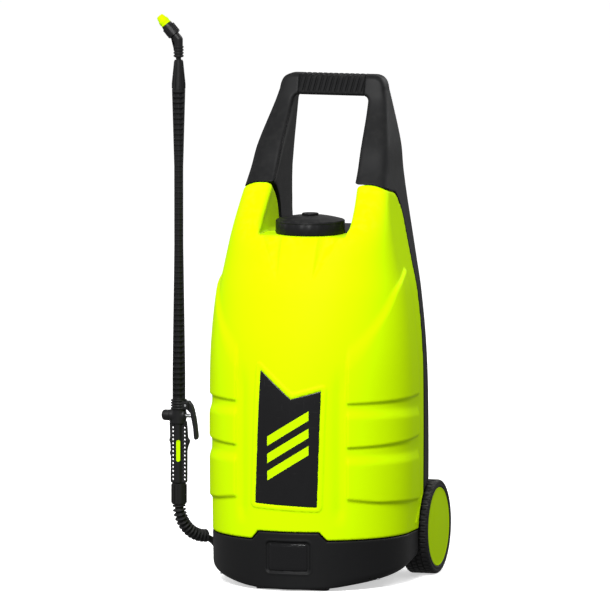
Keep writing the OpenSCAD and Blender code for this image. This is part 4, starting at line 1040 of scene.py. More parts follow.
@dataclass
class Tank:
    """Tank shell with its pads, plate frame and front plate.

    Attributes:
        cell: Size of the shell's mesh faces.
        proud: Height of the raised fields.
        pads: The three raised fields.
        plate_corners: Outline of the front plate as x, z.
        facet_z: Height of the lower end of the flat field on the front.
    """

    cell: float = 2.15
    proud: float = 3.8
    pads: tuple[Pad, ...] = (
        Pad(
            ((-131.5, 284.5), (50, 284), (36, 467), (18, 460), (-14, 443), (-32, 424), (-52, 401)),
            (6, 12, 5, 9, 14, 18, 22),
        ),
        Pad(((-140, 217.5), (50, 222), (50, 248), (-140, 260)), (6, 8, 18, 1)),
        Pad(((-140, 149), (-74, 134), (50, 126), (50, 183), (-140, 189)), (6, 6, 8, 18, 1)),
    )
    plate_corners: tuple[tuple[float, float], ...] = (
        (-52.0, 131.0), (45.0, 127.0), (51.0, 302.5), (6.0, 289.5), (-44.0, 332.0),
    )
    facet_z: float = 455.0

    def plate_edge(self, x: np.ndarray, z: np.ndarray, grow: float) -> np.ndarray:
        """Distance to the front plate's outline, negative on the plate.

        Args:
            x: Across, to the right of the cap's axis.
            z: Height.
            grow: How much larger to take it.

        Returns:
            The distance.
        """
        sides = []
        for a, b in zip(self.plate_corners, self.plate_corners[1:] + self.plate_corners[:1]):
            length = math.hypot(b[0] - a[0], b[1] - a[1])
            sides.append(((b[1] - a[1]) * (x - a[0]) - (b[0] - a[0]) * (z - a[1])) / length - grow)
        low, right, dip, peak, left = sides
        soft = 1.5 + grow / 2
        return both(both(low, left, soft), both(right, np.minimum(dip, peak), soft), soft)

    def skin(self, x: np.ndarray, y: np.ndarray, z: np.ndarray) -> np.ndarray:
        """Distance to the tank's outside with its pads, facets and plate frame.

        Args:
            x: Across, to the right of the cap's axis.
            y: Back from the cap's axis.
            z: Height.

        Returns:
            The distance.
        """
        body = HULL.distance(x, y, z)
        wide = np.abs(x)
        raised: np.ndarray | float = 0.0
        for pad in self.pads:
            raised = np.maximum(raised, pad.share(y, z))
        pads_from_x, groove_x, groove_half = 83.5, 75.0, 8.0
        body = body - self.proud * raised * ease((wide - pads_from_x) / 5.0)
        ahead = ease((20.0 - y) / 20.0)
        body = body + self.facets(wide, z) * ahead * (z > self.facet_z)
        groove = np.exp(-(((wide - groove_x) / groove_half) ** 2))
        groove = groove * ease((z - 95) / 30.0) * ease((345.0 - z) / 50.0)
        body = body + 2.8 * groove * ahead
        edge = self.plate_edge(x, z, 0.0)
        lip_out, lip_width, lip_height = 3.8, 8.0, 1.4
        lip = ease((lip_width - np.abs(edge - lip_out) * 2) / 3.0) * ahead
        body = body - lip_height * lip
        bed = ease((-edge + 0.6) / 1.2) * ahead
        return body + 0.4 * bed - 2.2 * self.arch_rib(wide, y, z)

    def facets(self, wide: np.ndarray, z: np.ndarray) -> np.ndarray:
        """Depth of the flat field that narrows from the filler notch down the front.

        Args:
            wide: Distance to either side of the middle.
            z: Height.

        Returns:
            The depth.
        """
        inner = 27.0
        low = self.facet_z
        half = np.interp(z, (low, low + 7, 524, 540), (26, 27.5, 59.5, 62)).astype(np.float32)
        return 0.9 * (
            np.clip(wide - inner, 0, None) * np.clip(half - wide, 0, None) / np.maximum(half - inner, 1)
        )

    @staticmethod
    def arch_rib(wide: np.ndarray, y: np.ndarray, z: np.ndarray) -> np.ndarray:
        """1 on the short slanting rib ahead of each wheel well and 0 off it.

        Args:
            wide: Distance to either side of the middle.
            y: Back from the cap's axis.
            z: Height.

        Returns:
            The share of the rib's full height.
        """
        across, up = 28.0, 37.0
        away = np.abs((z - 88.0) * across - (y - 45.0) * up) / 46.4
        return ease((2.2 - away) / 1.6) * ease((z - 86.0) / 2.0) * ease((126.5 - z) / 2.0) * (wide > 140.0)

    def shape(self, x: np.ndarray, y: np.ndarray, z: np.ndarray) -> np.ndarray:
        """Distance to the tank.

        Args:
            x: Across, to the right of the cap's axis.
            y: Back from the cap's axis.
            z: Height.

        Returns:
            The distance, negative inside.
        """
        solid = both(self.skin(x, y, z), HULL.seam(x, y, z, 0.4), 1.6)
        solid = both(solid, -HULL.base(x, y, z, 0.4) + 0.8, 1.6)
        notch_floor = 521.2 + 3.8 * ease((18.0 - y) / 6.0)
        notch = HULL.window(x, y, z, notch_floor)
        solid = both_varied(solid, -notch, (4.0, 14.0), ease((z - 527.0) / 14.0))
        solid = without(solid, HULL.wells(x, y, z), 2.0)
        skirt, floor_z = 5.0, 100.5
        under = np.maximum(HULL.distance(x, y, z) + skirt, z - floor_z)
        under = np.maximum(under, -HULL.wells(x, y, z, skirt))
        solid = np.maximum(solid, -under)
        from_axis = np.hypot(x, y)
        neck_hole = both(from_axis - 46.6, 505.0 - z, 0.5)
        solid = without(solid, neck_hole, 0.8)
        below_neck = both(from_axis - 56.0, np.abs(z - 466.0) - 50.0, 8.0)
        solid = np.maximum(solid, -below_neck)
        outlet_x, outlet_y = 45.0, 55.0
        outlet = np.maximum(np.hypot(x - outlet_x, y - outlet_y) - 15.0, z - 109.0)
        return np.maximum(solid, -outlet)

    def plate(self) -> bpy.types.Mesh:
        """The front plate.

        Returns:
            Its mesh, in the frame.
        """

        def shape(x: np.ndarray, y: np.ndarray, z: np.ndarray) -> np.ndarray:
            """Distance to the plate.

            Args:
                x: Across, to the right of the cap's axis.
                y: Back from the cap's axis.
                z: Height.

            Returns:
                The distance, negative inside.
            """
            body = HULL.distance(x, y, z)
            edge = self.plate_edge(x, z, -0.35)
            return both(both(body - 1.5, edge, 0.9), -body + 0.15, 0.2)

        return Skin(1.0).mesh("front_plate_face", shape, (-54, -130, 125), (53, -96, 334))

    def build(self) -> None:
        """Makes the tank and its plate."""
        skin = Skin(working_cell(self.cell))
        shell = skin.mesh("tank_shell", self.shape, (-158, -132, 74), (158, 90, 600))
        add_piece("tank_shell", shell, "cart", "lime_shell", "tank")
        add_piece("front_plate_face", self.plate(), "cart", "plate_black", "front_plate")
        log.info("tank")
        Stripes().build()


@dataclass
class Stripes:
    """Slanted coloured bars on the front plate, as a plain sign of the maker's colours.

    Attributes:
        left: Left end of every bar.
        right: Right end of every bar.
        low: Height of the lowest bar's left end.
        rise: How much higher its right end is.
        pitch: Height between bars.
        width: Height of a bar.
        count: Number of bars.
        sheets: How far out from the hull its face and its back lie.
    """

    left: float = -31.0
    right: float = 33.0
    low: float = 166.0
    rise: float = 40.0
    pitch: float = 26.0
    width: float = 14.0
    count: int = 3
    sheets: tuple[float, float] = (1.6, 1.2)

    @staticmethod
    def surface(x: np.ndarray, z: np.ndarray, out: float) -> np.ndarray:
        """Where the surface at a distance out from the hull lies in front of x, z.

        Args:
            x: Across, to the right of the cap's axis.
            z: Height.
            out: The distance out.

        Returns:
            The surface's y.
        """
        first_guess, step, flattest = -118.0, 0.2, -0.2
        y = np.full(x.shape, first_guess)
        for _ in range(12):
            here = HULL.distance(x, y, z) - out
            slope = (HULL.distance(x, y + step, z) - HULL.distance(x, y - step, z)) / (2 * step)
            y = y - here / np.minimum(slope, flattest)
        return y

    def bar(self, low: float, across: int = 32, up: int = 7) -> tuple[np.ndarray, list[Sequence[int]]]:
        """Points and faces of one bar.

        Args:
            low: Height of its left end.
            across: Faces along it.
            up: Faces up it.

        Returns:
            Its points and the corners of its faces.
        """
        s, t = np.meshgrid(np.linspace(0, 1, across + 1), np.linspace(0, 1, up + 1), indexing="ij")
        x = self.left + (self.right - self.left) * s
        z = low + self.rise * s + self.width * t
        sheets = [np.stack([x, self.surface(x, z, out), z], axis=-1).reshape(-1, 3) for out in self.sheets]
        count, row = (across + 1) * (up + 1), up + 1
        faces: list[Sequence[int]] = []
        for i in range(across):
            for j in range(up):
                a, b, c, d = i * row + j, (i + 1) * row + j, (i + 1) * row + j + 1, i * row + j + 1
                faces += [(a, b, c, d), (count + d, count + c, count + b, count + a)]
        edge = [i * row for i in range(across + 1)]
        edge += [across * row + j for j in range(1, row)]
        edge += [i * row + up for i in range(across - 1, -1, -1)]
        edge += list(range(up - 1, 0, -1))
        faces += [(count + a, count + b, b, a) for a, b in zip(edge, edge[1:] + edge[:1])]
        return np.vstack(sheets), faces

    def build(self) -> None:
        """Makes the bars."""
        points, faces = [], []
        for i in range(self.count):
            some, corners = self.bar(self.low + self.pitch * i)
            faces += [tuple(c + sum(map(len, points)) for c in face) for face in corners]
            points.append(some)
        bars = mesh_of("plate_bars", np.vstack(points), faces, smooth=False)
        add_piece("plate_bars", bars, "cart", "lime_trim")


@dataclass
class BackFrame:
    """Back shell that runs up into the carrying handle, and its ribbed grip.

    Attributes:
        cell: Size of the shell's mesh faces.
        grip_cell: Size of the grip's mesh faces.
        wall: Thickness of the shell.
        ribs: Number of the grip's grooves.
        grip_half: Half of the grip's length.
        sides: Height and half width of the handle's outline, which is the hull's own below them.
    """

    cell: float = 2.1
    grip_cell: float = 0.85
    wall: float = 3.6
    ribs: int = 13
    grip_half: float = 51.0
    sides: tuple[tuple[float, float], ...] = (
        (560, 400), (600, 140), (613, 122), (650, 113), (690, 99), (714, 90.5), (730, 84),
    )

    def handle(self, x: np.ndarray, z: np.ndarray) -> np.ndarray:
        """Distance to the handle's front view outline.

        Args:
            x: Across, to the right of the cap's axis.
            z: Height.

        Returns:
            The distance, negative on the handle.
        """
        corner_x, corner_z, radius, top_z = 62.0, 730.0, 22.0, 752.0
        wide = np.abs(x)
        side = wide - np.interp(z, *np.array(self.sides).T).astype(np.float32)
        corner = np.hypot(np.maximum(wide - corner_x, 0), np.maximum(z - corner_z, 0)) - radius
        return np.where((wide > corner_x) & (z > corner_z), corner, np.maximum(side, z - top_z))

    @staticmethod
    def core(body: np.ndarray, z: np.ndarray, grow: float) -> np.ndarray:
        """Distance to the grip bar's core."""
        return both(body + 3.4 - grow, np.abs(z - GRIP_Z) - 12.1 - grow, 4.0)

    def shape(self, x: np.ndarray, y: np.ndarray, z: np.ndarray) -> np.ndarray:
        """Distance to the back frame.

        Args:
            x: Across, to the right of the cap's axis.
            y: Back from the cap's axis.
            z: Height.

        Returns:
            The distance, negative inside.
        """
        body = HULL.distance(x, y, z)
        wide = np.abs(x)
        outer = both(body, self.handle(x, z), 7.0)
        shell = both(outer, -HULL.seam(x, y, z, -0.4), 1.4)
        shell = both(shell, -HULL.base(x, y, z, -0.4) - 0.2, 1.4)
        opening = HULL.window(x, y, z, 524.8)
        solid = both_varied(shell, -opening, (1.5, 6.0), ease((z - 560.0) / 60.0))
        hollow = np.maximum(body + self.wall, z - 516.0)
        hollow = np.maximum(hollow, -HULL.wells(x, y, z, 3.2))
        boss = 6.0
        for screw_x, screw_z in FRAME_SCREWS:
            hollow = np.maximum(hollow, boss - np.hypot(wide - screw_x, z - screw_z))
        solid = np.maximum(solid, -hollow)
        solid = without(solid, HULL.wells(x, y, z), 2.0)
        sill_z, sill_y, sill_half = 523.2, 86.0, (62.5, 63.5, 1.6)
        sill = np.maximum(wide - sill_half[0], np.abs(y - sill_y) - sill_half[1])
        sill = np.maximum(np.abs(z - sill_z) - sill_half[2], sill)
        sill = without(sill, np.hypot(x, y) - 47.0, 0.6)
        solid = np.minimum(solid, sill)
        bar_z, beside_grip = 700.0, self.grip_half + 0.4
        bare = np.maximum(solid, np.where(z > bar_z, beside_grip - wide, -FAR))
        solid = np.minimum(bare, np.maximum(self.core(body, z, 0.0), wide - 58.0))
        return self.drilled(solid, x, y, z)

    @staticmethod
    def drilled(solid: np.ndarray, x: np.ndarray, y: np.ndarray, z: np.ndarray) -> np.ndarray:
        """Distance to the shell with the openings in its back: screws, switch and charging socket.

        Args:
            solid: Distance to the shell before they are cut.
            x: Across, to the right of the cap's axis.
            y: Back from the cap's axis.
            z: Height.

        Returns:
            The distance, negative inside.
        """
        for screw_x, screw_z in FRAME_SCREWS:
            hole = np.hypot(np.abs(x) - screw_x, z - screw_z) - 4.6
            solid = without(solid, np.maximum(hole, 148.6 - y), 0.5)
        ahead = -(y - 147.5) - 6
        side_x, middle_z = 50.0, 240.0
        switch = round_box(x - side_x, z - middle_z, 11.6, 15.6, 1.0)
        solid = without(solid, np.maximum(switch, ahead), 0.4)
        socket = np.hypot(x + side_x, z - middle_z) - 9.6
        return without(solid, np.maximum(socket, ahead), 0.4)

    def grip(self, x: np.ndarray, y: np.ndarray, z: np.ndarray) -> np.ndarray:
        """Distance to the ribbed grip.

        Args:
            x: Across, to the right of the cap's axis.
            y: Back from the cap's axis.
            z: Height.

        Returns:
            The distance, negative inside.
        """
        body = HULL.distance(x, y, z)
        pitch, lean, depth = 100.0 / (self.ribs - 1), 0.2, 1.9
        along = x - (z - GRIP_Z) * lean
        from_groove = np.abs(along - np.round(along / pitch) * pitch)
        inside_ends = ease(self.grip_half - 0.2 - np.abs(x))
        groove = depth * (1 - ease((from_groove - 0.7) / 1.5)) * inside_ends * ease((149.0 - y) / 4.0)
        groove = groove * ease((z - 724.5) / 4.0)
        outer = both(body, np.abs(z - GRIP_Z) - 15.5, 6.5) + groove
        solid = both(outer, np.abs(x) - self.grip_half, 0.8)
        return np.maximum(solid, -self.core(body, z, 0.25))

    def build(self) -> None:
        """Makes the back frame and the grip."""
        skin = Skin(working_cell(self.cell))
        shell = skin.mesh("frame_shell", self.shape, (-154, 18, 101), (154, 153, 753))
        add_piece("frame_shell", shell, "cart", "charcoal_shell", "back_frame")
        skin = Skin(working_cell(self.grip_cell))
        sleeve = skin.mesh("grip_cover", self.grip, (-52, 100, 720), (52, 153, 753))
        add_piece("grip_cover", sleeve, "cart", "grip_rubber", "grip_sleeve")
        log.info("back frame")


@dataclass
class Base:
    """Base casing, its cover, foot and bare front plate.

    Attributes:
        cell: Size of the casing's mesh faces.
        wall: Thickness of the casing.
    """

    cell: float = 1.9
    wall: float = 3.0

    @staticmethod
    def belly(y: np.ndarray, z: np.ndarray) -> np.ndarray:
        """Distance below the sloping underside."""
        front_y, front_z, slope = -126.0, 1.4, 0.16
        return (front_z + slope * (y - front_y) - z) / math.hypot(1, slope)

    @staticmethod
    def pocket(x: np.ndarray, z: np.ndarray) -> np.ndarray:
        """Distance to the front recess's outline."""
        return round_box(x, z - BADGE_Z, 34.0, 23.25, 6.0)

    def shape(self, x: np.ndarray, y: np.ndarray, z: np.ndarray) -> np.ndarray:
        """Distance to the casing.

        Args:
            x: Across, to the right of the cap's axis.
            y: Back from the cap's axis.
            z: Height.

        Returns:
            The distance, negative inside.
        """
        body = HULL.distance(x, y, z)
        wide = np.abs(x)
        pocket = self.pocket(x, z)
        rim = ease((3.0 - np.abs(pocket - 1.4)) / 2.2) * (y < 0)
        under = self.belly(y, z)
        closed = both_varied(body - 0.5 * rim, under, (4.0, 14.0), ease((wide - 50.0) / 80.0))
        shell = both(closed, HULL.base(x, y, z, -0.4), 1.5)
        shell = np.maximum(shell, -np.maximum(closed + self.wall, -HULL.wells(x, y, z, self.wall)))
        shell = np.maximum(shell, -np.maximum(self.hatch(x, y, z) - 0.4, -under - 3.6))
        shell = without(shell, HULL.wells(x, y, z), 2.0)
        only_front = np.where(y < 0, -FAR, FAR)
        shell = without(shell, np.maximum(both(pocket, -body - 2.0, 0.8), only_front), 0.9)
        backing = both(np.maximum(pocket - 4.0, body + 2.0), -body - 5.2, 0.4)
        shell = np.minimum(shell, np.maximum(backing, only_front))
        axle_hole = np.maximum(np.hypot(y - AXLE_Y, z - AXLE_Z) - 6.4, 100.0 - wide)
        shell = np.maximum(shell, -axle_hole)
        gland_x, gland_z = -75.0, 88.0
        gland_hole = np.maximum(np.hypot(x - gland_x, z - gland_z) - 9.4, 140.0 - y)
        return np.maximum(shell, -gland_hole)

    @staticmethod
    def hatch(x: np.ndarray, y: np.ndarray, z: np.ndarray) -> np.ndarray:
        """Distance to the bottom cover's outline."""
        return np.maximum(HULL.distance(x, y, z) + 16.0, -HULL.wells(x, y, z, 3.6))

    def cover(self, x: np.ndarray, y: np.ndarray, z: np.ndarray) -> np.ndarray:
        """Distance to the bottom cover."""
        under = self.belly(y, z)
        return np.maximum(both(self.hatch(x, y, z), under, 0.8), -under - 3.0)

    def foot(self, x: np.ndarray, y: np.ndarray, z: np.ndarray) -> np.ndarray:
        """Distance to the rubber foot."""
        solid = both(round_box(x, y + 94.0, 56.0, 9.0, 7.0), -z, 1.0)
        return np.maximum(solid, -self.belly(y, z) + 0.1)

    def badge(self, x: np.ndarray, y: np.ndarray, z: np.ndarray) -> np.ndarray:
        """Distance to the bare front plate.

        Args:
            x: Across, to the right of the cap's axis.
            y: Back from the cap's axis.
            z: Height.

        Returns:
            The distance, negative inside.
        """
        body = HULL.distance(x, y, z)
        outline = round_box(x, z - BADGE_Z, 29.5, 19.75, 4.0)
        raised = 0.35 * ease((-outline - 2.4) / 0.9)
        solid = both(outline, body + 0.75 - raised, 0.5)
        return np.maximum(solid, -body - 1.98)

    def build(self) -> None:
        """Makes the base's pieces."""
        skin = Skin(working_cell(self.cell))
        shell = skin.mesh("base_shell", self.shape, (-152, -127, 3), (152, 153, 104))
        add_piece("base_shell", shell, "cart", "charcoal_shell", "base_housing")
        badge = Skin(0.8).mesh("badge_face", self.badge, (-31, -128, 30), (31, -100, 73))
        add_piece("badge_face", badge, "cart", "badge_black", "badge_plate")
        cover = Skin(2.0).mesh("base_cover", self.cover, (-140, -112, 3), (140, 140, 52))
        add_piece("base_cover", cover, "cart", "black_plastic", "bottom_cover")
        foot = Skin(1.2).mesh("rubber_foot", self.foot, (-58, -105, -1), (58, -83, 12))
        add_piece("rubber_foot", foot, "cart", "foot_rubber", "front_foot")
        for name, width in (("hose_gland", 0.6), ("tank_outlet", 0.4)):
            soften(name, width)
        log.info("base")


# ---------------------------------------------------------------- filler, wheels and small fittings


@dataclass
class Filler:
    """Neck, screw cap, vent and strainer basket.

    Attributes:
        cap_radius: Radius of the cap.
        facets: Number of flat facets round its skirt.
    """

    cap_radius: float = 52.0
    facets: int = 24

    def cap(self) -> bpy.types.Mesh:
        """The screw cap, open below, with a skirt of flat facets.

        Returns:
            Its mesh, in the frame.
        """
        r, skirt_top = self.cap_radius, 541.8
        outside: Profile = [(r - 0.6, 526), (r, 526.7), (r, 541.6), (r - 0.5, 542.0), (r - 0.5, 542.5)]
        outside += [(r, 542.9), (r, 543.5)]
        turn = [(r - 3 + 3 * math.cos(a), 543.3 + 2.7 * math.sin(a)) for a in np.linspace(0.2, 1.45, 6)]
        dome = [((r - 3) * (1 - t), 546 + 7 * (1 - (1 - t) ** 2)) for t in np.linspace(0, 1, 9)[1:-1]]
        inside = [(4.2, 550.9), (4.2, 544), (40.0, 544), (r - 5.5, 543.6), (r - 4.6, 542.6), (r - 4.6, 526)]

        def wave(z: np.ndarray, turn_at: np.ndarray) -> np.ndarray:
            """Flattens the skirt between its corners.

            Args:
                z: Height.
                turn_at: Turn round the axis, in radians.

            Returns:
                The change of the radius.
            """
            skirt = ease((skirt_top - z) / 0.3) * (z < skirt_top)
            share = (turn_at * self.facets / math.tau) % 1.0 - 0.5
            flat = math.cos(math.pi / self.facets) / np.cos(share * math.tau / self.facets)
            return skirt * np.where(z > 526.2, r * (flat - 1) - 0.25 * (np.abs(share) > 0.47), 0.0)

        profile = outside + turn + dome + [(4.2, 552.8)] + inside
        return lathe("screw_cap", profile, self.facets * 20, wave=wave)

    @staticmethod
    def neck() -> bpy.types.Mesh:
        """The threaded filler neck.

        Returns:
            Its mesh, in the frame.
        """
        ridge = ((44, -1.4), (45.4, -0.5), (45.4, 0.5), (44, 1.4))
        thread = [(r, z + dz) for z in (529.0, 534.0) for r, dz in ridge]
        profile: Profile = [(38.0, 509.4), (38.6, 508.8), (43.4, 508.8), (44, 509.4), (44, 521.5)]
        profile += [(46, 521.5), (46, 524.6), (45.6, 525.0), (44, 525.2)] + thread
        profile += [(44, 539.2), (43.2, 540), (38.7, 540), (38.0, 539.3)]
        return lathe("filler_neck", profile, 240)

    @staticmethod
    def vent() -> bpy.types.Mesh:
        """The disc of the vent on its stem.

        Returns:
            Its mesh, in the frame.
        """
        profile: Profile = [(1.5, 541), (7, 541), (7, 542.6), (4, 542.6), (4, 553.1), (12.2, 553.1)]
        profile += [(12.5, 553.5), (12.5, 554.6), (11.8, 555.3), (9.5, 555.3), (9.0, 554.9), (0, 554.9)]
        profile += [(0, 552.5), (1.5, 552.5)]
        return lathe("vent_disc", profile, 72)

    def build(self) -> None:
        """Makes the filler's pieces."""
        add_piece("screw_cap", self.cap(), "cap", "cap_plastic", "filler_cap")
        add_piece("vent_disc", self.vent(), "vent", "cap_plastic", "vent_valve")
        add_piece("filler_neck", self.neck(), "cart", "black_plastic", "neck_ring")
        soften("strainer", 0.4)
        log.info("filler")


@dataclass
class Wheel:
    """A wheel with a ribbed tyre and a coloured disc.

    Attributes:
        side: Name of its side.
        outward: +1 for the right wheel, -1 for the left.
        radius: Radius of the tyre.
        width: Width of the tyre.
        blocks: Number of tread blocks.
    """

    side: str
    outward: float
    radius: float = 71.0
    width: float = 43.0
    blocks: int = 52

    def tyre(self) -> bpy.types.Mesh:
        """Tyre with three grooves, cut shoulders and beaded sidewalls.

        Returns:
            Its mesh, in the frame.
        """
        r, w = self.radius, self.width
        wall: Profile = [(60, 0.9), (61.5, 0.5), (63.2, 0.5), (63.8, 1.0), (65.0, 1.0), (65.6, 0.5)]
        wall += [(67.2, 0.25), (69.4, 1.2), (70.6, 2.8)]
        shoulder, bottom = 4.0, r - 1.9
        pitch = (w - 2 * shoulder) / 4
        groove = ((r, -2.6), (r, -1.5), (r - 0.4, -1.15), (bottom, -0.85))
        groove += tuple((radius, -z) for radius, z in reversed(groove))
        tread: Profile = [(r, 4.4)]
        for i in (1, 2, 3):
            tread += [(radius, shoulder + pitch * i + z) for radius, z in groove]
        tread.append((r, w - 4.4))
        other_wall = [(radius, w - z) for radius, z in reversed(wall)]

        def wave(z: np.ndarray, turn_at: np.ndarray) -> np.ndarray:
            """Cuts the tread into blocks, each row half a block ahead of the last.

            Args:
                z: Distance from the tyre's inner face.
                turn_at: Turn round the axis, in radians.

            Returns:
                The change of the radius.
            """
            phase = (turn_at * self.blocks / math.tau + np.floor((z - shoulder) / pitch) * 0.5) % 1.0
            cut = 1 - ease(np.abs(phase - 0.5) * 8.0 - 0.4)
            ends = ease((z - 1.0) / 0.8) * ease((w - 1.0 - z) / 0.8)
            return -2.1 * cut * ends

        return self._turned(f"tyre_{self.side}_tread", wall + tread + other_wall, self.blocks * 10, wave)

    def disc(self) -> bpy.types.Mesh:
        """Slightly crowned disc with a raised rim.

        Returns:
            Its mesh, in the frame.
        """
        profile: Profile = [(0, 39.75), (59.2, 39.75), (59.2, 41.2), (58.9, 41.9), (58.3, 42.15)]
        profile += [(57.6, 42.1), (57.1, 41.8), (56.6, 41.75), (50, 41.9), (36, 42.3), (20, 42.6)]
        profile += [(8, 42.75), (0, 42.8)]
        return self._turned(f"disc_{self.side}", profile, 120)

    def _turned(self, name: str, profile: Profile, steps: int, wave: Wave | None = None) -> bpy.types.Mesh:
        """Turns a profile round the axle, outward from the wheel's inner face.

        Args:
            name: Name of the mesh.
            profile: Radius and distance outward of each corner.
            steps: Faces round the axle.
            wave: Change of the radius at each distance and turn.

        Returns:
            The mesh, in the frame.
        """
        outer_face = 162.0
        at = (self.outward * (outer_face - self.width), AXLE_Y, AXLE_Z)
        return lathe(name, profile, steps, at, (self.outward, 0, 0), wave)

    def build(self) -> None:
        """Makes the wheel's pieces."""
        body = f"wheel_{self.side}"
        add_piece(f"tyre_{self.side}_tread", self.tyre(), body, "tyre_rubber", f"tyre_{self.side}")
        add_piece(f"disc_{self.side}", self.disc(), body, "lime_trim", f"wheel_disc_{self.side}")
        soften(f"rim_{self.side}", 0.6)
        log.info("%s wheel", self.side)


@dataclass
class Fittings:
    """Small mechanical pieces that keep their CAD form, with rounded edges.

    Attributes:
        widths: Rounding of each node's edges, in millimetres.
    """

    widths: dict[str, float] = field(default_factory=lambda: {
        "axle": 0.4, "axle_washers": 0.3, "axle_clips": 0.15, "battery_pack": 3.0, "battery_strap": 0.3,
        "pump_head": 1.2, "pump_motor": 1.0, "pump_screws": 0.3, "pressure_switch": 0.5,
        "control_board": 0.3, "switch_bezel": 0.5, "rocker_switch": 0.6, "charge_socket": 0.5,
        "socket_flap": 0.6, "frame_screws": 0.4, "bottom_screws": 0.4, "trigger": 0.7, "gun_valve_cap": 0.5,
        "lance_tube": 0.35, "lance_nut": 0.35, "elbow": 0.3, "nozzle_collar": 0.3, "hose_nut": 0.4,
        "trigger_pin": 0.2, "valve_stem": 0.3,
    })

    def build(self) -> None:
        """Makes the fittings."""
        for name, width in self.widths.items():
            soften(name, width)
        log.info("fittings")


# ---------------------------------------------------------------- hose


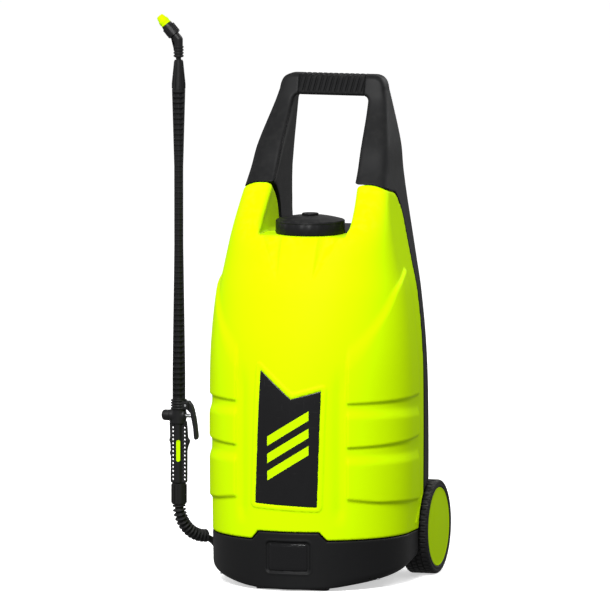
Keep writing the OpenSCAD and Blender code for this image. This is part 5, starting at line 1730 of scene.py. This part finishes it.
@dataclass
class HoseLine:
    """The one hose from the base's gland, over its floor coil, up through the finned sleeve to the gun.

    Attributes:
        radius: Outer radius of the hose.
        coil_at: Centre of the floor coil.
        layers: Height of each layer, the radii at its start and end, and its turns.
        lead: Points from the gland down to the coil.
        run: Points from the coil round the base to the sleeve.
        bend_radius: Radius of the sleeve's quarter bend.
        bend_turn: Direction of the bend's lower end, in degrees from the x axis.
        bend_top: Height of the bend's upper end.
        fins: Number of fins on the sleeve.
        bore: Inner radius of the sleeve.
    """

    radius: float = 5.0
    coil_at: tuple[float, float] = (-20.0, 265.0)
    layers: tuple[tuple[float, float, float, float], ...] = (
        (15.2, 60.0, 50.0, 1.75), (5.2, 50.0, 60.0, 2.0),
    )
    bend_radius: float = 52.0
    bend_turn: float = 53.13
    bend_top: float = 107.0
    fins: int = 13
    bore: float = 5.3
    lead: tuple[Triple, ...] = (
        (-75, 157, 88), (-75, 168, 88), (-75, 182, 87.5), (-75, 196, 84), (-75, 208, 76), (-76, 219, 64),
        (-78, 228, 50), (-79, 238, 36), (-80, 248, 24.5), (-80, 257, 18), (-80, 265, 15.2),
    )
    run: tuple[Triple, ...] = (
        (-20, 205, 5.2), (-45, 205, 5.2), (-70, 206, 5.2), (-100, 207, 5.2), (-128, 206, 5.2),
        (-150, 202, 5.2), (-165, 193, 5.2), (-174, 178, 5.2), (-176, 162, 6.5), (-175, 147, 8.5),
        (-173, 132, 13), (-172, 118, 19), (-171, 105, 26.5), (-171, 92, 33.5), (-172, 80, 40.5),
        (-175, 69, 48),
    )

    def circle(self, radius: float, angle: float, height: float) -> Triple:
        """A point on a circle round the coil's centre."""
        x, y = self.coil_at
        return (x + radius * math.cos(angle), y + radius * math.sin(angle), height)

    def coil(self) -> Points:
        """Points of the coil: inward on the upper layer, outward on the lower.

        Returns:
            The points, from the coil's entry to its end.
        """
        made: Points = []
        angle = math.pi
        for index, (height, start, end, turns) in enumerate(self.layers):
            steps = int(turns * 40)
            for i in range(1, steps + 1):
                t = i / steps
                made.append(self.circle(start + (end - start) * t, angle - math.tau * turns * t, height))
            angle -= math.tau * turns
            if index < len(self.layers) - 1:
                fall, steps = 2 * self.radius, 14
                for i in range(1, steps):
                    low = height - fall * float(ease(np.array(i / steps)))
                    made.append(self.circle(end, angle - math.pi / 2 * i / steps, low))
                angle -= math.pi / 2
        return made

    def bend(self, degrees: float) -> Triple:
        """A point on the sleeve's bend, degrees below its upper end.

        Args:
            degrees: The angle.

        Returns:
            The point.
        """
        turn, down = math.radians(self.bend_turn), math.radians(degrees)
        out = self.bend_radius * (1 - math.cos(down))
        x, y = LANCE_X + out * math.cos(turn), LANCE_Y + out * math.sin(turn)
        return (x, y, self.bend_top - self.bend_radius * math.sin(down))

    def line(self) -> np.ndarray:
        """The hose's centreline.

        Returns:
            Its points, evenly spaced.
        """
        bend = [self.bend(a) for a in np.linspace(90, 0, 11)[1:]]
        end = [(LANCE_X, LANCE_Y, 116), (LANCE_X, LANCE_Y, 125)]
        return smooth_path([*self.lead, *self.coil(), *self.run, *bend, *end], 4.0)

    def build(self) -> None:
        """Makes the hose and its sleeve."""
        line = to_frame(self.line())
        curve = bpy.data.curves.new("spray_hose", "CURVE")
        curve.dimensions = "3D"
        curve.bevel_depth = 1.0  # times each point's radius
        curve.bevel_resolution = 5
        curve.use_fill_caps = True
        spline = curve.splines.new("POLY")
        spline.points.add(len(line) - 1)
        spline.points.foreach_set("co", np.hstack([line, np.ones((len(line), 1))]).ravel())
        spline.points.foreach_set("radius", np.full(len(line), self.radius * MM))
        spline.use_smooth = True
        hose = bpy.data.objects.new("spray_hose", curve)
        bpy.context.scene.collection.objects.link(hose)
        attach(hose, "cart")
        PIECE_SLOTS[hose.name] = "hose_rubber"
        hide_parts("hose", "hose_coil", "hose_lead")
        add_piece("finned_sleeve", self.sleeve(), "cart", "sleeve_rubber", "hose_sleeve")

    def sleeve(self) -> bpy.types.Mesh:
        """The bent sleeve with its round fins.

        Returns:
            Its mesh, in the frame.
        """
        root, shoulder, tip, crown, half = 6.6, 7.0, 9.5, 10.0, 1.21
        fin = ((root, -half - 0.5), (shoulder, -half), (tip, -half + 0.12), (crown, -half + 0.55))
        fin += tuple((radius, -turn) for radius, turn in reversed(fin))
        rings = [(0.0, self.bore), (0.0, 6.2), (0.4, root)]
        for i in range(self.fins):
            middle = 3 + 84 * i / (self.fins - 1)
            rings += [(middle + turn, radius) for radius, turn in fin]
        rings += [(89.2, root), (90.0, 6.2), (90.0, self.bore)]
        rings += [(turn, self.bore) for turn in np.linspace(84, 6, 14)]
        steps = 40
        turn = math.radians(self.bend_turn)
        across = np.array((-math.sin(turn), math.cos(turn), 0.0))
        round_about = np.arange(steps)[:, None] * math.tau / steps
        points = []
        for degrees, radius in rings:
            t = math.radians(degrees)
            outward = np.array((-math.cos(turn) * math.cos(t), -math.sin(turn) * math.cos(t), -math.sin(t)))
            ring = radius * (np.cos(round_about) * outward + np.sin(round_about) * across)
            points.append(np.array(self.bend(degrees)) + ring)
        return ring_mesh("finned_sleeve", np.vstack(points), len(rings), steps)


# ---------------------------------------------------------------- gun and lance


@dataclass
class Gun:
    """Spray gun's body and its coloured insert.

    Attributes:
        low: Height of the grip's lower end.
        top: Height of the head's top.
        hole_pitch: Height between the holes of the ladders beside the grip.
        ladder_left: Height and width of the left ladder's outline, from the grip's lower end.
        ladder_right: The same of the right ladder.
        insert_at: Centre of the coloured insert, across and up.
        cell: Size of the mesh's faces.
    """

    low: float = 138.5
    top: float = 265.0
    hole_pitch: float = 6.0
    ladder_left: tuple[tuple[float, float], ...] = (
        (0, 11), (3, 12.5), (41, 12.2), (46, 13.6), (50, 12.4), (60, 12.8), (65, 14.5), (70, 13.2),
        (94, 14),
    )
    ladder_right: tuple[tuple[float, float], ...] = (
        (0, 11), (3, 12.5), (50, 12.8), (57, 14.6), (64, 17.4), (69, 14.0), (94, 12.0),
    )
    insert_at: tuple[float, float] = (1.6, 49.5)
    cell: float = 0.62

    def shape(self, x: np.ndarray, y: np.ndarray, z: np.ndarray) -> np.ndarray:
        """Distance to the gun's body.

        Args:
            x: Across, to the right of the cap's axis.
            y: Back from the cap's axis.
            z: Height.

        Returns:
            The distance, negative inside.
        """
        u, v, h = x - LANCE_X, y - LANCE_Y, z - self.low
        below_top, round_about = z - self.top, np.hypot(u, v)
        valve_z = self.top - 24.0
        grip = both(round_box(u, v, 5.2, 9.0, 4.4), np.abs(h - 46.0) - 46.0, 2.0)
        body = either(grip, self.ladders(u, v, h), 1.2)
        barrel = both(np.hypot(v, z - valve_z) - 9.0, np.abs(u + 2.0) - 12.0, 0.8)
        head = both(round_about - 10.6, np.abs(z - valve_z - 5.4) - 17.4, 0.8)
        body = either(either(body, barrel, 1.5), head, 1.5)
        ring_z, ring_pitch = -13.0, 4.0
        step = np.clip(np.round((below_top - ring_z) / ring_pitch), 0, 3)
        rings = both(round_about - 12.4, np.abs(below_top - ring_z - ring_pitch * step) - 1.0, 0.4)
        cheek = round_box(u - 11.5, below_top + 8.0, 5.5, 6.0, 2.5)
        cheek = both(cheek, np.abs(np.abs(v) - 8.4) - 1.3, 0.5)
        nipple = np.maximum(round_about - 7.0, np.abs(h + 5.0) - 7.0)
        for more in (rings, cheek, nipple):
            body = np.minimum(body, more)
        lance_hole = np.maximum(round_about - 8.3, self.top - 19.5 - z)
        valve_hole = np.maximum(np.hypot(v, z - valve_z) - 2.5, -u - 7.5)
        trigger_slot = np.maximum(np.maximum(6.4 - u, np.abs(v) - 7.0), np.abs(below_top + 8.0) - 7.0)
        hose_hole = np.maximum(round_about - 2.4, h - 3.0)
        across, up = self.insert_at
        recess = both(round_box(u - across, h - up, 3.45, 16.8, 3.4), 9.05 - np.abs(v) - 0.9, 0.2)
        for less in (lance_hole, valve_hole, trigger_slot, hose_hole, recess):
            body = np.maximum(body, -less)
        return body

    def ladders(self, u: np.ndarray, v: np.ndarray, h: np.ndarray) -> np.ndarray:
        """Distance to the flat ladders on both sides of the grip.

        Args:
            u: Across from the gun's axis.
            v: Back from the gun's axis.
            h: Height above the grip's lower end.

        Returns:
            The distance, negative inside.
        """
        left = np.interp(h, *np.array(self.ladder_left).T).astype(np.float32)
        right = np.interp(h, *np.array(self.ladder_right).T).astype(np.float32)
        web = both(np.maximum(u - right, -u - left), np.abs(h - 47.0) - 47.0, 2.0)
        web = both(web, np.abs(v) - 4.6, 1.6)
        pitch = self.hole_pitch
        nearest = np.clip(np.round((h - pitch) / pitch), 0, 13)
        holes = round_box(np.abs(u) - 9.2, h - pitch - pitch * nearest, 2.0, 1.75, 0.8)
        return without(web, holes, 0.35)

    def insert(self, x: np.ndarray, y: np.ndarray, z: np.ndarray) -> np.ndarray:
        """Distance to the coloured capsules in the grip's sides.

        Args:
            x: Across, to the right of the cap's axis.
            y: Back from the cap's axis.
            z: Height.

        Returns:
            The distance, negative inside.
        """
        across, up = self.insert_at
        u, v, h = x - LANCE_X, np.abs(y - LANCE_Y), z - self.low
        capsule = round_box(u - across, h - up, 3.15, 16.4, 3.1)
        dish = 0.45 * ease((-capsule - 1.0) / 0.5)
        middle = 9.15
        return both(capsule, np.abs(v - middle) - 0.95 + dish * (v > middle), 0.35)

    @staticmethod
    def spring() -> bpy.types.Object:
        """The valve's return spring.

        Returns:
            The new piece.
        """
        source = bpy.data.objects["valve_spring"]
        wire = source.data.copy()
        wire.transform(source.matrix_world)
        wire.shade_smooth()
        spring = add_piece("return_spring", wire, "cart", SLOT_OF["valve_spring"], "valve_spring")
        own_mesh(spring)
        return spring

    def build(self) -> None:
        """Makes the gun's body, insert and spring."""
        x, y = LANCE_X, LANCE_Y
        skin = Skin(working_cell(self.cell))
        body = skin.mesh("gun_grip", self.shape, (x - 17, y - 14, 125), (x + 19, y + 14, 266))
        add_piece("gun_grip", body, "cart", "gun_plastic", "gun_body")
        insert = Skin(0.4).mesh("gun_capsules", self.insert, (x - 3, y - 11, 170), (x + 6, y + 11, 206))
        add_piece("gun_capsules", insert, "cart", "lime_trim", "gun_insert")
        self.spring()
        log.info("gun")


@dataclass
class Nozzle:
    """Coloured nozzle tip.

    Attributes:
        elbow_z: Height of the elbow's corner.
        tilt: Lean of the nozzle to the left, in degrees.
    """

    elbow_z: float = 808.6
    tilt: float = 41.0

    def build(self) -> None:
        """Makes the nozzle tip."""
        lean = math.radians(self.tilt)
        axis = (-math.sin(lean), 0.0, math.cos(lean))
        profile: Profile = [(0.8, 24.4), (5.7, 24.4), (6.0, 24.7), (6.0, 28.7), (7.6, 28.7), (8.0, 29.1)]
        profile += [(8.0, 30.6), (7.7, 31.0), (7.7, 32.0), (8.0, 32.4), (8.0, 36.4), (7.6, 37.3)]
        profile += [(7.0, 38.0), (6.3, 41.5), (5.5, 44.2), (4.7, 45.3), (3.8, 45.6), (2.6, 45.6)]
        profile += [(2.2, 45.3), (2.2, 43.0), (0.8, 43.0)]
        mesh = lathe("nozzle_cone", profile, 72, (LANCE_X, LANCE_Y, self.elbow_z), axis)
        add_piece("nozzle_cone", mesh, "spray_tip", "lime_trim", "nozzle_tip")
        log.info("nozzle")


# ---------------------------------------------------------------- studio


@dataclass(frozen=True)
class Light:
    """A soft square light that faces the cart.

    Attributes:
        azimuth: Direction it stands in, in degrees to the right of the front.
        elevation: Its height, in degrees.
        distance: Its distance, in metres.
        size: Its side, in metres.
        power: Its power, in watts.
    """

    azimuth: float
    elevation: float
    distance: float
    size: float
    power: float


@dataclass
class Studio:
    """Camera, lights and floor.

    Attributes:
        azimuth: The camera's direction, in degrees to the right of the front.
        elevation: The camera's height, in degrees.
        distance: The camera's distance, in metres.
        focal: The lens, in millimetres on a 36 mm sensor.
        target: The point in the middle of the picture, in metres.
        lit_point: The point that the lights face, in metres.
        lights: The soft lights.
        sky: Brightness of the light that comes from above.
        ground: Brightness of the light that comes from below.
        floor_reach: Half of the floor's side, in metres.
    """

    azimuth: float = 16.0
    elevation: float = 6.5
    distance: float = 22.4
    focal: float = 883.5
    target: Triple = (-0.0076, 0.0978, 0.4166)
    lit_point: Triple = (0.0, 0.1, 0.35)
    sky: float = 0.5
    ground: float = 0.34
    floor_reach: float = 40.0
    lights: tuple[Light, ...] = (
        Light(1.5, 37.0, 4.5, 1.8, 352.0),
        Light(-80.0, 26.0, 3.2, 1.0, 17.0),
        Light(100.0, 40.0, 3.2, 1.0, 10.0),
        Light(150.0, 30.0, 3.4, 1.4, 40.0),
    )

    @staticmethod
    def _from(azimuth: float, elevation: float, distance: float, target: Vector) -> Vector:
        """Place seen from a target in a direction.

        Args:
            azimuth: Direction, in degrees to the right of the front.
            elevation: Height, in degrees.
            distance: Distance, in metres.
            target: The point that is seen.

        Returns:
            The place.
        """
        a, e = math.radians(azimuth), math.radians(elevation)
        level = math.cos(e)
        return target + distance * Vector((math.sin(a) * level, -math.cos(a) * level, math.sin(e)))

    def camera(self) -> None:
        """Makes the camera."""
        data = bpy.data.cameras.new("camera")
        data.lens = self.focal
        data.sensor_width = 36.0
        data.clip_start, data.clip_end = 1.0, 200.0
        camera = bpy.data.objects.new("camera", data)
        target = Vector(self.target)
        camera.location = self._from(self.azimuth, self.elevation, self.distance, target)
        camera.rotation_euler = (target - camera.location).to_track_quat("-Z", "Y").to_euler()
        bpy.context.scene.collection.objects.link(camera)
        bpy.context.scene.camera = camera

    def light(self) -> None:
        """Makes the lights."""
        centre = Vector(self.lit_point)
        for index, light in enumerate(self.lights):
            data = bpy.data.lights.new(f"light_{index}", "AREA")
            data.size, data.energy = light.size, light.power
            lamp = bpy.data.objects.new(f"light_{index}", data)
            lamp.location = self._from(light.azimuth, light.elevation, light.distance, centre)
            lamp.rotation_euler = (centre - lamp.location).to_track_quat("-Z", "Y").to_euler()
            bpy.context.scene.collection.objects.link(lamp)

    def surroundings(self) -> None:
        """Makes the light from all round and sets how the picture is developed."""
        world = bpy.data.worlds.new("studio")
        world.use_nodes = True
        tree = world.node_tree
        tree.nodes.clear()
        up = node(tree, "ShaderNodeTexCoord", {}, {}, "Generated").part("Z").above(-0.6, 0.7)
        colour = up.blend(grey(self.ground), grey(self.sky))
        glow = node(tree, "ShaderNodeBackground", {}, {"Color": colour, "Strength": 1.0})
        node(tree, "ShaderNodeOutputWorld", {}, {"Surface": glow})
        scene = bpy.context.scene
        scene.world = world
        scene.view_settings.view_transform = "Standard"
        scene.view_settings.look = "None"

    def floor(self) -> None:
        """Makes the floor, which the cart neither mirrors nor takes light from."""
        reach = self.floor_reach
        corners = [(-reach, -reach, 0), (reach, -reach, 0), (reach, reach, 0), (-reach, reach, 0)]
        mesh = bpy.data.meshes.new("floor")
        mesh.from_pydata(corners, [], [(0, 1, 2, 3)])
        mesh.materials.append(self.floor_finish())
        floor = bpy.data.objects.new("floor", mesh)
        bpy.context.scene.collection.objects.link(floor)
        floor.visible_diffuse = False
        floor.visible_glossy = False
        floor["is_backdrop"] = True

    @staticmethod
    def floor_finish() -> bpy.types.Material:
        """Plain pale floor.

        Returns:
            The material.
        """
        material = bpy.data.materials.new("pale_floor")
        material.use_nodes = True
        surface = material.node_tree.nodes["Principled BSDF"]
        surface.inputs["Base Color"].default_value = (0.93, 0.93, 0.93, 1.0)
        surface.inputs["Roughness"].default_value = 0.9
        surface.inputs["Specular IOR Level"].default_value = 0.1
        surface.inputs["Emission Color"].default_value = (1.0, 1.0, 1.0, 1.0)
        surface.inputs["Emission Strength"].default_value = 0.52
        return material


# ---------------------------------------------------------------- the whole cart


def finish_pieces() -> None:
    """Gives every piece and CAD node the material of its slot."""
    made = {name: finish.make(name) for name, finish in FINISHES.items()}
    for piece in bpy.context.scene.objects:
        if piece.type not in ("MESH", "CURVE") or piece.name == "floor":
            continue
        slot = PIECE_SLOTS.get(piece.name) or SLOT_OF.get(piece.name)
        if slot is None:
            log.warning("no slot for %s", piece.name)
            continue
        piece.data.materials.clear()
        piece.data.materials.append(made[slot])


def write_sizes() -> None:
    """Gathers the CAD's and the model's bounding boxes as plain lists; nothing is kept."""
    {"cad": _plain(cad_box), "visual": _plain(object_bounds())}


def _plain(box: object) -> object:
    """The same box as plain lists of numbers.

    Args:
        box: A box or one of its numbers.

    Returns:
        A list of numbers, or one number.
    """
    if isinstance(box, (int, float)):
        return float(box)
    return [_plain(part) for part in box]


def main() -> None:
    """Builds the scene."""
    logging.basicConfig(level=logging.INFO, format="%(message)s")
    studio = Studio()
    studio.camera()
    HoseLine().build()
    Tank().build()
    BackFrame().build()
    Base().build()
    Filler().build()
    Wheel("right", 1.0).build()
    Wheel("left", -1.0).build()
    Fittings().build()
    Gun().build()
    Nozzle().build()
    studio.light()
    studio.surroundings()
    studio.floor()
    log.info("studio")
    finish_pieces()
    write_sizes()


if __name__ == "__main__":
    main()
